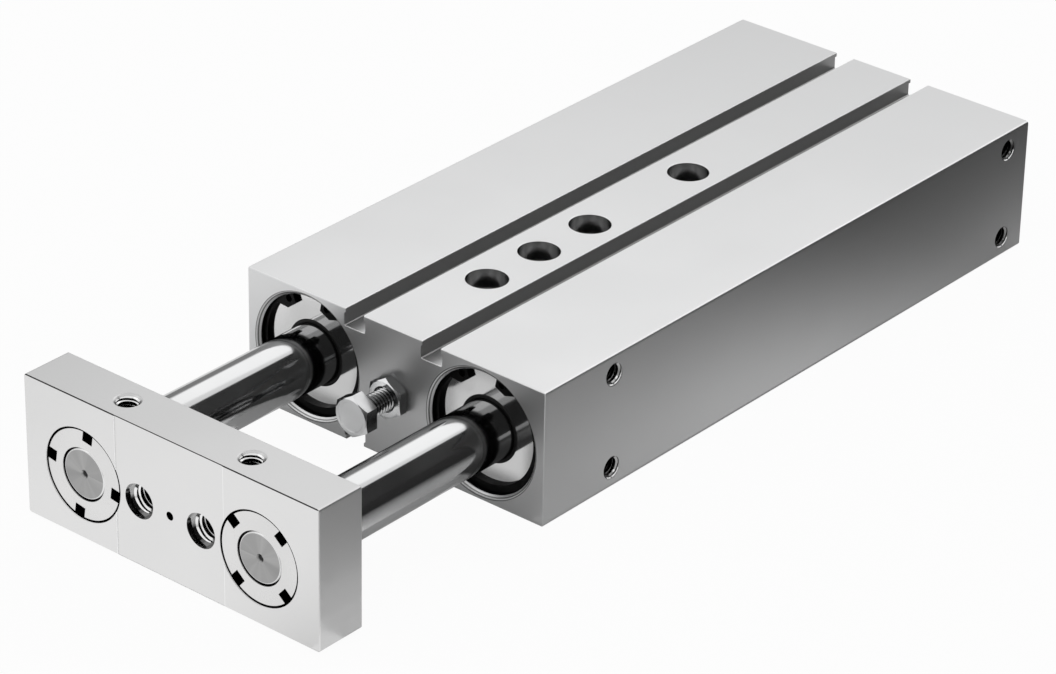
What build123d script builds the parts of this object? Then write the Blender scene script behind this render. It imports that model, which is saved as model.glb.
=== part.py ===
from build123d import *
import os
from math import cos, radians, sin, sqrt, tan

# Double piston cylinder. Two rods in one flat housing push and pull a common yoke plate.
# Millimetres, +Z up. The origin is the middle of the housing's underside. The rods run along Y and
# leave the housing at its front face, on the -Y side. The pistons stand part way along their stroke.

# Stroke
STROKE = 100.0
EXTENSION = 48.0  # how far the rods are out at rest, counted from the stop screw's head
END_GAP = 0.2  # left free at each end of the stroke

# Fits, all radial
SEAT_FIT = 0.02  # pieces of one assembly that sit in each other
RUNNING_FIT = 0.05  # pieces that slide in each other
THREAD_FIT = 0.05  # a plain shank in its threaded hole, cut at the thread's outer diameter

# Housing section
HOUSING_WIDTH = 97.0
HOUSING_HEIGHT = 37.0
HOUSING_EDGE_RADIUS = 0.8
FACE_EDGE_CHAMFER = 0.3
BORE_SPACING = 57.0
BORE_DIAMETER = 32.0
SLOT_CENTRE = 12.5  # from the middle plane
SLOT_MOUTH = 6.0
SLOT_WIDTH = 7.0
SLOT_LIP = 1.2
SLOT_DEPTH = 5.0
SLOT_CORNER = 0.5

# Bore mouths, the same at both ends
MOUTH_DIAMETER = 33.0
MOUTH_CHAMFER = 0.95
GROOVE_SETBACK = 1.8
GROOVE_WIDTH = 1.3
GROOVE_DEPTH = 0.8
FLANGE_THICKNESS = 3.7

# Circlips
CIRCLIP_THICKNESS = 1.2
CIRCLIP_PLAY = 0.05  # radial, at the bottom of its groove
CIRCLIP_BAND = 2.2  # mean radial width
CIRCLIP_TAPER = 0.8  # the band widens by this much opposite the gap
CIRCLIP_GAP_HALF = 17.5  # degrees
CIRCLIP_LUG_END = 32.0  # degrees
CIRCLIP_LUG_ROOT = 42.0  # degrees
CIRCLIP_LUG_REACH = 4.2  # how far a lug reaches in from the outer edge
CIRCLIP_LUG_SLANT = 0.45  # a lug reaches in less by this much at its gap end
CIRCLIP_EYE = 2.0
FRONT_CIRCLIP_ANGLE = 96.0  # middle of the gap, degrees from +X
REAR_CIRCLIP_ANGLE = 90.0

# Piston rods
ROD_DIAMETER = 16.0
ROD_SPIGOT_DIAMETER = 14.0  # threaded front end, in the yoke
ROD_TAIL_DIAMETER = 10.0  # threaded rear end, in the piston
ROD_END_CHAMFER = 0.6
ROD_END_SETBACK = 0.5  # behind the yoke's face
CENTRE_DRILL_DIAMETER = 2.2
CENTRE_DRILL_DEPTH = 1.6

# Glands and what they carry
GLAND_LENGTH = 63.9
NOSE_DIAMETER = 26.0  # the reduced end that leaves room for the air
GLAND_NOSE_LENGTH = 4.0
ROD_PASSAGE = 0.3  # radial room round the rod where nothing guides it
WIPER_LIP_DIAMETER = 18.0
WIPER_LIP_PROUD = 0.2
WIPER_NECK_LENGTH = 1.2
WIPER_BODY_DIAMETER = 22.0
WIPER_BODY_LENGTH = 3.2
BUSH_WALL = 2.0
BUSH_LENGTH = 20.0
SEAL_WEB = 3.0  # between the bushes' room and the rod seal
ROD_SEAL_DIAMETER = 23.0
ROD_SEAL_LENGTH = 4.0
ROD_SEAL_SETBACK = 4.0  # from the gland's rear end

# O-rings, squeezed between groove and bore
O_RING_SECTION = 1.8
O_RING_WIDTH = 2.2
O_RING_PLAY = 0.2  # each side, along the groove
GLAND_O_RING_SETBACK = 4.3  # middle of the groove, behind the flange
CAP_O_RING_SETBACK = 2.3

# Cushion rings
CUSHION_THICKNESS = 1.5
CUSHION_BORE = 18.0

# Rear caps
REAR_CAP_BODY_LENGTH = 5.8
REAR_CAP_NOSE_LENGTH = 2.0

# Pistons
PISTON_LENGTH = 15.0
PISTON_PLAY = 0.3  # radial, piston body in its bore
PISTON_LAND = 1.5
PISTON_SEAL_WIDTH = 3.0
PISTON_SEAL_DEPTH = 2.5
MAGNET_WIDTH = 3.0
MAGNET_DEPTH = 2.0
MAGNET_SETBACK = 0.2  # below the piston's skin
PISTON_NUT_FLATS = 14.0
PISTON_NUT_HEIGHT = 5.0
PISTON_NUT_ROOM = 0.7  # radial, round the nut's corners
PISTON_NUT_SETBACK = 1.0

# Stop screw and its lock nut
STOP_THREAD = 6.0
STOP_FLATS = 10.0
STOP_HEAD_HEIGHT = 4.0
STOP_NUT_HEIGHT = 3.2
STOP_NUT_PLAY = 0.1  # radial, nut on the shank
STOP_FREE_THREAD = 8.0  # between nut and head
STOP_SCREW_LENGTH = 30.0
STOP_HOLE_DEPTH = 28.5
HEX_CHAMFER_SHARE = 0.95  # a chamfer's circle on the face, as a share of the flats
HEX_CHAMFER_ANGLE = 30.0

# Holes in the housing
WEB_HOLE_ROWS = [35.0, 55.0, 75.0, 115.0]  # from the front face
WEB_HOLE_DIAMETER = 6.6
WEB_COUNTERBORE_DIAMETER = 11.0
WEB_COUNTERBORE_DEPTH = 6.8
SIDE_HOLE_FRONT = 26.0  # from the front face
SIDE_HOLE_REAR = 9.0  # from the rear face
SIDE_HOLE_PITCH = 26.0  # across the height
SIDE_HOLE_THREAD = 6.0
SIDE_HOLE_WALL = 0.9  # left between a side hole's bottom and the bore mouth
HOLE_MOUTH_CHAMFER = 0.2

# Air ports and channels
PORT_THREAD = 9.73
PORT_DEPTH = 8.0
PORT_PITCH = 18.0  # from port to port, one above the other
PORT_CHAMFER = 0.5
PORT_CORE_DIAMETER = 6.0
FEED_DIAMETER = 3.0
CHANNEL_DIAMETER = 4.0
CHANNEL_OFFSET = 8.0  # sideways from the middle plane
CHANNEL_PLUG_LENGTH = 5.0
CHANNEL_PLUG_SETBACK = 0.3

# Yoke plate
YOKE_WIDTH = 95.0
YOKE_HEIGHT = 38.0
YOKE_THICKNESS = 14.5
YOKE_GROUND_CLEARANCE = 1.0
YOKE_EDGE_RADIUS = 0.8
YOKE_FACE_CHAMFER = 0.2
YOKE_RELIEF_WIDTH = 35.0  # the middle of the front face lies a little lower
YOKE_RELIEF_DEPTH = 0.15
ROD_SEAT_DEPTH = 3.0  # how far the full rod enters the yoke
YOKE_FRONT_HOLE_PITCH = 20.0
YOKE_FRONT_THREAD = 8.0
YOKE_RECESS_DIAMETER = 9.2
YOKE_RECESS_DEPTH = 2.3
YOKE_PIN_HOLE_DIAMETER = 2.3
YOKE_PIN_HOLE_DEPTH = 4.0
YOKE_TOP_HOLE_PITCH = 40.0
YOKE_TOP_THREAD = 6.0
YOKE_TOP_HOLE_DEPTH = 9.5
YOKE_TOP_HOLE_CHAMFER = 0.55

# Slotted ring nuts
RING_NUT_DIAMETER = 23.6
RING_NUT_THICKNESS = 6.7
RING_NUT_SETBACK = 0.3  # behind the yoke's face
RING_NUT_ROOM = 0.6  # radial, in the yoke's counterbore
RING_SLOT_COUNT = 4
RING_SLOT_WIDTH = 3.2
RING_SLOT_REACH = 2.65
RING_SLOT_DEPTH = 3.5
RING_SLOT_ANGLES = {"left": 81.0, "right": 49.5}  # degrees from +X, as each nut came to rest

# Places that follow from the sizes
FLANGE_SETBACK = GROOVE_SETBACK + GROOVE_WIDTH
MOUTH_DEPTH = FLANGE_SETBACK + FLANGE_THICKNESS
REAR_CAP_LENGTH = FLANGE_THICKNESS + REAR_CAP_BODY_LENGTH + REAR_CAP_NOSE_LENGTH
HOUSING_LENGTH = (
    2 * FLANGE_SETBACK
    + GLAND_LENGTH
    + REAR_CAP_LENGTH
    + 2 * (CUSHION_THICKNESS + END_GAP)
    + STROKE
    + PISTON_LENGTH
)
FRONT_Y = -HOUSING_LENGTH / 2
REAR_Y = HOUSING_LENGTH / 2
AXIS_Z = HOUSING_HEIGHT / 2
SIDES = {"left": -BORE_SPACING / 2, "right": BORE_SPACING / 2}

BORE_R = BORE_DIAMETER / 2
MOUTH_R = MOUTH_DIAMETER / 2
ROD_R = ROD_DIAMETER / 2
SPIGOT_R = ROD_SPIGOT_DIAMETER / 2
TAIL_R = ROD_TAIL_DIAMETER / 2
NOSE_R = NOSE_DIAMETER / 2
BUSH_R = ROD_R + RUNNING_FIT + BUSH_WALL
O_RING_BASE_R = BORE_R - SEAT_FIT - O_RING_SECTION

GLAND_FRONT_Y = FRONT_Y + FLANGE_SETBACK
GLAND_REAR_Y = GLAND_FRONT_Y + GLAND_LENGTH
WIPER_BODY_Y = GLAND_FRONT_Y + WIPER_NECK_LENGTH
BUSH_ROOM_Y = WIPER_BODY_Y + WIPER_BODY_LENGTH
ROD_SEAL_REAR_Y = GLAND_REAR_Y - ROD_SEAL_SETBACK
ROD_SEAL_FRONT_Y = ROD_SEAL_REAR_Y - ROD_SEAL_LENGTH
BUSH_SHOULDER_Y = ROD_SEAL_FRONT_Y - SEAL_WEB
CAP_FACE_Y = REAR_Y - FLANGE_SETBACK
CAP_NOSE_Y = CAP_FACE_Y - REAR_CAP_LENGTH

PISTON_FRONT_Y = GLAND_REAR_Y + CUSHION_THICKNESS + END_GAP + STROKE - EXTENSION
PISTON_REAR_Y = PISTON_FRONT_Y + PISTON_LENGTH
PISTON_R = BORE_R - PISTON_PLAY
PISTON_NUT_Y = PISTON_REAR_Y - PISTON_NUT_SETBACK - PISTON_NUT_HEIGHT

STOP_HEAD_Y = FRONT_Y - STOP_NUT_HEIGHT - STOP_FREE_THREAD - STOP_HEAD_HEIGHT
YOKE_BACK_Y = STOP_HEAD_Y - END_GAP - EXTENSION
YOKE_FRONT_Y = YOKE_BACK_Y - YOKE_THICKNESS
YOKE_TOP_Z = YOKE_GROUND_CLEARANCE + YOKE_HEIGHT
ROD_SHOULDER_Y = YOKE_BACK_Y - ROD_SEAT_DEPTH
ROD_END_Y = YOKE_FRONT_Y + ROD_END_SETBACK
RING_NUT_Y = YOKE_FRONT_Y + RING_NUT_SETBACK


def upright(y):
    """The plane across the bores at y: local x is +X and local y is +Z."""
    return Plane(origin=(0, y, 0), x_dir=(1, 0, 0), z_dir=(0, -1, 0))


def prism(sketch, y_front, y_rear):
    """A section drawn in X and Z, carried from y_front back to y_rear."""
    return extrude(upright(y_rear) * sketch, y_rear - y_front)


def rod(radius, y_front, y_rear, x=0.0, z=AXIS_Z):
    """A plain round bar or hole along Y."""
    return prism(Pos(x, z) * Circle(radius), y_front, y_rear)


def turned(profile, x=0.0, z=AXIS_Z):
    """A turned solid about an axis along Y, from (radius, y) corners of its half section."""
    half = make_face(Polyline(*profile, close=True))
    return Pos(x, 0, z) * revolve(half, Axis.Y)


def ring(inner_r, outer_r, y_front, y_rear, x=0.0):
    """A plain ring about a bore axis."""
    return turned([(inner_r, y_front), (outer_r, y_front), (outer_r, y_rear), (inner_r, y_rear)], x)


def polar(radius, degrees):
    return (radius * cos(radians(degrees)), radius * sin(radians(degrees)))


def chamfered_hole(diameter, depth, chamfer_size):
    """A blind hole with a chamfered mouth at the origin, running along -Z."""
    radius = diameter / 2
    profile = [
        (0, 0),
        (radius + chamfer_size, 0),
        (radius, -chamfer_size),
        (radius, -depth),
        (0, -depth),
    ]
    half = Plane.XZ * make_face(Polyline(*profile, close=True))
    return revolve(half, Axis.Z)


def hexagon(flats):
    """A hexagon about the stop screw's axis, with one corner straight up."""
    return Pos(0, AXIS_Z) * RegularPolygon(flats / 2, 6, major_radius=False, rotation=30)


def hex_prism(flats, y_front, y_rear, x=0.0):
    """A hexagon along a bore axis, with its corners taken off by a cone at the front face."""
    face_r = HEX_CHAMFER_SHARE * flats / 2
    wide_r = face_r + (y_rear - y_front) / tan(radians(HEX_CHAMFER_ANGLE))
    cone = turned([(0, y_front), (face_r, y_front), (wide_r, y_rear), (0, y_rear)], x)
    return prism(Pos(x, 0) * hexagon(flats), y_front, y_rear) & cone


def hex_nut(flats, y_front, y_rear, bore_r, x=0.0):
    """A hexagon nut with its corners taken off by a cone at both faces."""
    front_half = hex_prism(flats, y_front, y_rear, x)
    middle = Plane(origin=(0, (y_front + y_rear) / 2, 0), z_dir=(0, 1, 0))
    return (front_half & mirror(front_half, middle)) - rod(bore_r, y_front, y_rear, x)


def slot_section(side, top):
    """The section of one T-slot. side is -1 or 1, and top says which face it opens in."""
    face_z = HOUSING_HEIGHT if top else 0.0
    inward = -1 if top else 1
    x = side * SLOT_CENTRE
    mouth = Pos(x, face_z) * Rectangle(SLOT_MOUTH, 2 * SLOT_DEPTH)
    room_height = SLOT_DEPTH - SLOT_LIP
    room = RectangleRounded(SLOT_WIDTH, room_height, SLOT_CORNER)
    return mouth + Pos(x, face_z + inward * (SLOT_LIP + room_height / 2)) * room


def bore_cut(x):
    """One cylinder bore with its mouth, circlip groove and chamfer at both ends."""
    groove_r = MOUTH_R + GROOVE_DEPTH
    ends = []
    for end_y, inward in ((FRONT_Y, 1), (REAR_Y, -1)):
        ends.append(
            [
                (MOUTH_R + MOUTH_CHAMFER, end_y),
                (MOUTH_R, end_y + inward * MOUTH_CHAMFER),
                (MOUTH_R, end_y + inward * GROOVE_SETBACK),
                (groove_r, end_y + inward * GROOVE_SETBACK),
                (groove_r, end_y + inward * FLANGE_SETBACK),
                (MOUTH_R, end_y + inward * FLANGE_SETBACK),
                (MOUTH_R, end_y + inward * MOUTH_DEPTH),
                (BORE_R, end_y + inward * MOUTH_DEPTH),
            ]
        )
    front, rear = ends
    return turned([(0, FRONT_Y), *front, *reversed(rear), (0, REAR_Y)], x)


def air_passages():
    """Two threaded ports in the rear face. The lower one feeds the rear ends of the bores, the upper
    one feeds their front ends through a long channel beside the web holes."""
    low_z = AXIS_Z - PORT_PITCH / 2
    high_z = AXIS_Z + PORT_PITCH / 2
    rear_feed_y = CAP_NOSE_Y + FEED_DIAMETER / 2
    front_feed_y = GLAND_REAR_Y - GLAND_NOSE_LENGTH / 2
    port_r = PORT_THREAD / 2
    core_end_y = rear_feed_y - FEED_DIAMETER  # past the feed that crosses it
    cut = []
    for z in (low_z, high_z):
        port = [
            (0, REAR_Y),
            (port_r + PORT_CHAMFER, REAR_Y),
            (port_r, REAR_Y - PORT_CHAMFER),
            (port_r, REAR_Y - PORT_DEPTH),
            (PORT_CORE_DIAMETER / 2, REAR_Y - PORT_DEPTH),
            (PORT_CORE_DIAMETER / 2, core_end_y),
            (0, core_end_y),
        ]
        cut.append(turned(port, 0.0, z))
    # Straight feeds across the web, from bore to bore
    reach = BORE_SPACING / 2
    cut.append(Pos(0, rear_feed_y, low_z) * Rot(0, 90, 0) * Cylinder(FEED_DIAMETER / 2, 2 * reach))
    cut.append(Pos(0, front_feed_y, high_z) * Rot(0, 90, 0) * Cylinder(FEED_DIAMETER / 2, 2 * reach))
    # The long channel, and the short link from the upper port to it
    cut.append(rod(CHANNEL_DIAMETER / 2, front_feed_y, REAR_Y, CHANNEL_OFFSET, high_z))
    link = Pos(CHANNEL_OFFSET / 2, rear_feed_y, high_z) * Rot(0, 90, 0)
    cut.append(link * Cylinder(FEED_DIAMETER / 2, CHANNEL_OFFSET))
    return cut


def side_hole_depth():
    """As deep as the wall between the side face and the round bore mouth allows."""
    nearest_rise = SIDE_HOLE_PITCH / 2 - SIDE_HOLE_THREAD / 2
    mouth_half_width = sqrt(MOUTH_R**2 - nearest_rise**2)
    return (HOUSING_WIDTH - BORE_SPACING) / 2 - mouth_half_width - SIDE_HOLE_WALL


def make_housing():
    blank = prism(Pos(0, AXIS_Z) * Rectangle(HOUSING_WIDTH, HOUSING_HEIGHT), FRONT_Y, REAR_Y)
    blank = fillet(blank.edges().filter_by(Axis.Y), HOUSING_EDGE_RADIUS)
    ends = blank.faces().filter_by(Axis.Y)
    blank = chamfer([edge for face in ends for edge in face.edges()], FACE_EDGE_CHAMFER)
    cut = [bore_cut(x) for x in SIDES.values()]
    for side in (-1, 1):
        for top in (True, False):
            cut.append(prism(slot_section(side, top), FRONT_Y, REAR_Y))
    for row in WEB_HOLE_ROWS:
        y = FRONT_Y + row
        cut.append(Pos(0, y, AXIS_Z) * Cylinder(WEB_HOLE_DIAMETER / 2, HOUSING_HEIGHT))
        head = chamfered_hole(WEB_COUNTERBORE_DIAMETER, WEB_COUNTERBORE_DEPTH, HOLE_MOUTH_CHAMFER)
        cut.append(Pos(0, y, HOUSING_HEIGHT) * head)
    side_hole = chamfered_hole(SIDE_HOLE_THREAD, side_hole_depth(), HOLE_MOUTH_CHAMFER)
    for side in (-1, 1):
        for y in (FRONT_Y + SIDE_HOLE_FRONT, REAR_Y - SIDE_HOLE_REAR):
            for rise in (-SIDE_HOLE_PITCH / 2, SIDE_HOLE_PITCH / 2):
                place = Pos(side * HOUSING_WIDTH / 2, y, AXIS_Z + rise)
                cut.append(place * Rot(0, side * 90, 0) * side_hole)
    stop_hole = Rot(90, 0, 0) * chamfered_hole(STOP_THREAD, STOP_HOLE_DEPTH, HOLE_MOUTH_CHAMFER)
    cut.append(Pos(0, FRONT_Y, AXIS_Z) * stop_hole)
    return blank - cut - air_passages()


def make_gland(x):
    """The long front cap that closes a bore and guides its rod. The circlip holds its flange."""
    groove_y = FRONT_Y + MOUTH_DEPTH + GLAND_O_RING_SETBACK
    groove_half = O_RING_WIDTH / 2 + O_RING_PLAY
    passage_r = ROD_R + ROD_PASSAGE
    body_r = BORE_R - SEAT_FIT
    flange_r = MOUTH_R - SEAT_FIT
    profile = [
        (WIPER_LIP_DIAMETER / 2 + SEAT_FIT, GLAND_FRONT_Y),
        (flange_r, GLAND_FRONT_Y),
        (flange_r, FRONT_Y + MOUTH_DEPTH),
        (body_r, FRONT_Y + MOUTH_DEPTH),
        (body_r, groove_y - groove_half),
        (O_RING_BASE_R, groove_y - groove_half),
        (O_RING_BASE_R, groove_y + groove_half),
        (body_r, groove_y + groove_half),
        (body_r, GLAND_REAR_Y - GLAND_NOSE_LENGTH),
        (NOSE_R, GLAND_REAR_Y - GLAND_NOSE_LENGTH),
        (NOSE_R, GLAND_REAR_Y),
        (passage_r, GLAND_REAR_Y),
        (passage_r, ROD_SEAL_REAR_Y),
        (ROD_SEAL_DIAMETER / 2 + SEAT_FIT, ROD_SEAL_REAR_Y),
        (ROD_SEAL_DIAMETER / 2 + SEAT_FIT, ROD_SEAL_FRONT_Y),
        (passage_r, ROD_SEAL_FRONT_Y),
        (passage_r, BUSH_SHOULDER_Y),
        (BUSH_R + SEAT_FIT, BUSH_SHOULDER_Y),
        (BUSH_R + SEAT_FIT, BUSH_ROOM_Y),
        (WIPER_BODY_DIAMETER / 2 + SEAT_FIT, BUSH_ROOM_Y),
        (WIPER_BODY_DIAMETER / 2 + SEAT_FIT, WIPER_BODY_Y),
        (WIPER_LIP_DIAMETER / 2 + SEAT_FIT, WIPER_BODY_Y),
    ]
    return turned(profile, x)


def make_wiper(x):
    """The rubber ring that wipes the rod. Its lip stands out of the gland's face."""
    inner_r = ROD_R + RUNNING_FIT
    lip_r = WIPER_LIP_DIAMETER / 2
    profile = [
        (inner_r, GLAND_FRONT_Y - WIPER_LIP_PROUD),
        (lip_r - WIPER_LIP_PROUD / 2, GLAND_FRONT_Y - WIPER_LIP_PROUD),
        (lip_r, GLAND_FRONT_Y - WIPER_LIP_PROUD / 2),
        (lip_r, WIPER_BODY_Y),
        (WIPER_BODY_DIAMETER / 2, WIPER_BODY_Y),
        (WIPER_BODY_DIAMETER / 2, BUSH_ROOM_Y),
        (inner_r, BUSH_ROOM_Y),
    ]
    return turned(profile, x)


def make_bushes(x):
    """A plain bush at each end of the gland's long room."""
    inner_r = ROD_R + RUNNING_FIT
    front = ring(inner_r, BUSH_R, BUSH_ROOM_Y, BUSH_ROOM_Y + BUSH_LENGTH, x)
    rear = ring(inner_r, BUSH_R, BUSH_SHOULDER_Y - BUSH_LENGTH, BUSH_SHOULDER_Y, x)
    return Compound(children=[front, rear])


def make_circlip(x, y_front, gap_angle):
    """An internal circlip: a band that widens away from the gap, and two lugs with an eye each."""
    outer_r = MOUTH_R + GROOVE_DEPTH - CIRCLIP_PLAY
    centre_shift = polar(CIRCLIP_TAPER, gap_angle)
    band = Circle(outer_r) - Pos(*centre_shift) * Circle(outer_r - CIRCLIP_BAND)
    tip_r = outer_r - CIRCLIP_LUG_REACH
    eye_r = (tip_r + outer_r) / 2
    eye_angle = (CIRCLIP_GAP_HALF + CIRCLIP_LUG_END) / 2
    for side in (-1, 1):
        lug = [
            polar(outer_r, gap_angle + side * CIRCLIP_GAP_HALF),
            polar(tip_r + CIRCLIP_LUG_SLANT, gap_angle + side * CIRCLIP_GAP_HALF),
            polar(tip_r, gap_angle + side * CIRCLIP_LUG_END),
            polar(outer_r - CIRCLIP_BAND + CIRCLIP_TAPER, gap_angle + side * CIRCLIP_LUG_ROOT),
            polar(outer_r, gap_angle + side * CIRCLIP_LUG_ROOT),
        ]
        band += make_face(Polyline(*lug, close=True))
    gap_edge = 2 * outer_r
    band -= make_face(
        Polyline(
            (0, 0),
            polar(gap_edge, gap_angle - CIRCLIP_GAP_HALF),
            polar(gap_edge, gap_angle + CIRCLIP_GAP_HALF),
            close=True,
        )
    )
    for side in (-1, 1):
        band -= Pos(*polar(eye_r, gap_angle + side * eye_angle)) * Circle(CIRCLIP_EYE / 2)
    return prism(Pos(x, AXIS_Z) * band, y_front, y_front + CIRCLIP_THICKNESS)


def make_o_ring(x, groove_y):
    half = O_RING_WIDTH / 2
    return ring(O_RING_BASE_R, BORE_R, groove_y - half, groove_y + half, x)


def make_cushion(x, y_front):
    return ring(CUSHION_BORE / 2, NOSE_R, y_front, y_front + CUSHION_THICKNESS, x)


def make_rear_cap(x):
    """The blank plug that closes a bore at the rear."""
    groove_y = REAR_Y - MOUTH_DEPTH - CAP_O_RING_SETBACK
    groove_half = O_RING_WIDTH / 2 + O_RING_PLAY
    body_r = BORE_R - SEAT_FIT
    flange_r = MOUTH_R - SEAT_FIT
    profile = [
        (0, CAP_NOSE_Y),
        (NOSE_R, CAP_NOSE_Y),
        (NOSE_R, CAP_NOSE_Y + REAR_CAP_NOSE_LENGTH),
        (body_r, CAP_NOSE_Y + REAR_CAP_NOSE_LENGTH),
        (body_r, groove_y - groove_half),
        (O_RING_BASE_R, groove_y - groove_half),
        (O_RING_BASE_R, groove_y + groove_half),
        (body_r, groove_y + groove_half),
        (body_r, REAR_Y - MOUTH_DEPTH),
        (flange_r, REAR_Y - MOUTH_DEPTH),
        (flange_r, CAP_FACE_Y),
        (0, CAP_FACE_Y),
    ]
    return turned(profile, x)


def make_piston_rod(x):
    """The rod with its threaded spigot in the yoke and its threaded tail in the piston."""
    drill_r = CENTRE_DRILL_DIAMETER / 2
    profile = [
        (0, ROD_END_Y + CENTRE_DRILL_DEPTH),
        (drill_r, ROD_END_Y),
        (SPIGOT_R - ROD_END_CHAMFER, ROD_END_Y),
        (SPIGOT_R, ROD_END_Y + ROD_END_CHAMFER),
        (SPIGOT_R, ROD_SHOULDER_Y),
        (ROD_R, ROD_SHOULDER_Y),
        (ROD_R, PISTON_FRONT_Y),
        (TAIL_R, PISTON_FRONT_Y),
        (TAIL_R, PISTON_REAR_Y - PISTON_NUT_SETBACK / 2),
        (0, PISTON_REAR_Y - PISTON_NUT_SETBACK / 2),
    ]
    return turned(profile, x)


def piston_groove_starts():
    """Where the front seal, the magnet ring and the rear seal begin, behind the piston's face."""
    front_seal = PISTON_FRONT_Y + PISTON_LAND
    magnet = PISTON_FRONT_Y + (PISTON_LENGTH - MAGNET_WIDTH) / 2
    rear_seal = PISTON_REAR_Y - PISTON_LAND - PISTON_SEAL_WIDTH
    return front_seal, magnet, rear_seal


def make_piston(x):
    front_seal, magnet, rear_seal = piston_groove_starts()
    nut_room_r = PISTON_NUT_FLATS / 2 / cos(radians(30)) + PISTON_NUT_ROOM
    body = ring(TAIL_R + SEAT_FIT, PISTON_R, PISTON_FRONT_Y, PISTON_REAR_Y, x)
    seal_base_r = PISTON_R - PISTON_SEAL_DEPTH
    grooves = [
        ring(seal_base_r, BORE_R, front_seal, front_seal + PISTON_SEAL_WIDTH, x),
        ring(PISTON_R - MAGNET_DEPTH - MAGNET_SETBACK, BORE_R, magnet, magnet + MAGNET_WIDTH, x),
        ring(seal_base_r, BORE_R, rear_seal, rear_seal + PISTON_SEAL_WIDTH, x),
    ]
    return body - grooves - rod(nut_room_r, PISTON_NUT_Y, PISTON_REAR_Y, x)


def make_piston_seals(x):
    """The two seals, one behind each end land. They stand out of the piston and run on the bore."""
    base_r = PISTON_R - PISTON_SEAL_DEPTH
    seals = []
    for start in (piston_groove_starts()[0], piston_groove_starts()[2]):
        seals.append(ring(base_r, BORE_R - RUNNING_FIT, start, start + PISTON_SEAL_WIDTH, x))
    return Compound(children=seals)


def make_magnet(x):
    start = piston_groove_starts()[1]
    outer_r = PISTON_R - MAGNET_SETBACK
    return ring(outer_r - MAGNET_DEPTH, outer_r, start, start + MAGNET_WIDTH, x)


def make_piston_nut(x):
    y_rear = PISTON_NUT_Y + PISTON_NUT_HEIGHT
    return hex_nut(PISTON_NUT_FLATS, PISTON_NUT_Y, y_rear, TAIL_R + SEAT_FIT, x)


def make_yoke_plate():
    """The plate that both rods are bolted into, with the holes that carry the load."""
    middle_z = YOKE_GROUND_CLEARANCE + YOKE_HEIGHT / 2
    plate = prism(Pos(0, middle_z) * Rectangle(YOKE_WIDTH, YOKE_HEIGHT), YOKE_FRONT_Y, YOKE_BACK_Y)
    plate = fillet(plate.edges().filter_by(Axis.Y), YOKE_EDGE_RADIUS)
    ends = plate.faces().filter_by(Axis.Y)
    plate = chamfer([edge for face in ends for edge in face.edges()], YOKE_FACE_CHAMFER)
    relief = Pos(0, middle_z) * Rectangle(YOKE_RELIEF_WIDTH, YOKE_HEIGHT)
    cut = [prism(relief, YOKE_FRONT_Y, YOKE_FRONT_Y + YOKE_RELIEF_DEPTH)]
    for x in SIDES.values():
        nut_room_r = RING_NUT_DIAMETER / 2 + RING_NUT_ROOM
        cut.append(rod(nut_room_r, YOKE_FRONT_Y, RING_NUT_Y + RING_NUT_THICKNESS, x))
        cut.append(rod(SPIGOT_R + SEAT_FIT, YOKE_FRONT_Y, YOKE_BACK_Y, x))
        cut.append(rod(ROD_R + SEAT_FIT, ROD_SHOULDER_Y, YOKE_BACK_Y, x))
    hole_y = YOKE_FRONT_Y + YOKE_RELIEF_DEPTH
    for side in (-1, 1):
        x = side * YOKE_FRONT_HOLE_PITCH / 2
        cut.append(rod(YOKE_RECESS_DIAMETER / 2, hole_y, hole_y + YOKE_RECESS_DEPTH, x))
        cut.append(rod(YOKE_FRONT_THREAD / 2, hole_y, YOKE_BACK_Y, x))
        top_hole = chamfered_hole(YOKE_TOP_THREAD, YOKE_TOP_HOLE_DEPTH, YOKE_TOP_HOLE_CHAMFER)
        middle_y = (YOKE_FRONT_Y + YOKE_BACK_Y) / 2
        cut.append(Pos(side * YOKE_TOP_HOLE_PITCH / 2, middle_y, YOKE_TOP_Z) * top_hole)
    cut.append(rod(YOKE_PIN_HOLE_DIAMETER / 2, YOKE_FRONT_Y, hole_y + YOKE_PIN_HOLE_DEPTH))
    return plate - cut


def make_ring_nut(x, slot_angle):
    """The round nut sunk in the yoke, with open slots for a hook or pin wrench in its face."""
    outer_r = RING_NUT_DIAMETER / 2
    nut = ring(SPIGOT_R + SEAT_FIT, outer_r, RING_NUT_Y, RING_NUT_Y + RING_NUT_THICKNESS, x)
    slot_middle_r = outer_r - RING_SLOT_REACH / 2
    slots = []
    for index in range(RING_SLOT_COUNT):
        turn = Rot(0, 0, slot_angle + index * 360 / RING_SLOT_COUNT)
        # The slot is drawn a little longer than it reaches, so that its outer end is open.
        slot = Pos(slot_middle_r + RING_NUT_ROOM / 2) * Rectangle(
            RING_SLOT_REACH + RING_NUT_ROOM, RING_SLOT_WIDTH
        )
        section = Pos(x, AXIS_Z) * turn * slot
        slots.append(prism(section, RING_NUT_Y, RING_NUT_Y + RING_SLOT_DEPTH))
    return nut - slots


def make_stop_screw():
    """The hexagon screw that the yoke meets when the rods are in."""
    neck_y = STOP_HEAD_Y + STOP_HEAD_HEIGHT
    tip_y = neck_y + STOP_SCREW_LENGTH
    head = hex_prism(STOP_FLATS, STOP_HEAD_Y, neck_y)
    shank_r = STOP_THREAD / 2 - THREAD_FIT
    shank = turned(
        [
            (0, neck_y),
            (shank_r, neck_y),
            (shank_r, tip_y - STOP_THREAD / 10),
            (shank_r - STOP_THREAD / 10, tip_y),
            (0, tip_y),
        ]
    )
    return head + shank


def make_stop_nut():
    bore_r = STOP_THREAD / 2 - THREAD_FIT + STOP_NUT_PLAY
    return hex_nut(STOP_FLATS, FRONT_Y - STOP_NUT_HEIGHT, FRONT_Y, bore_r)


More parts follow.
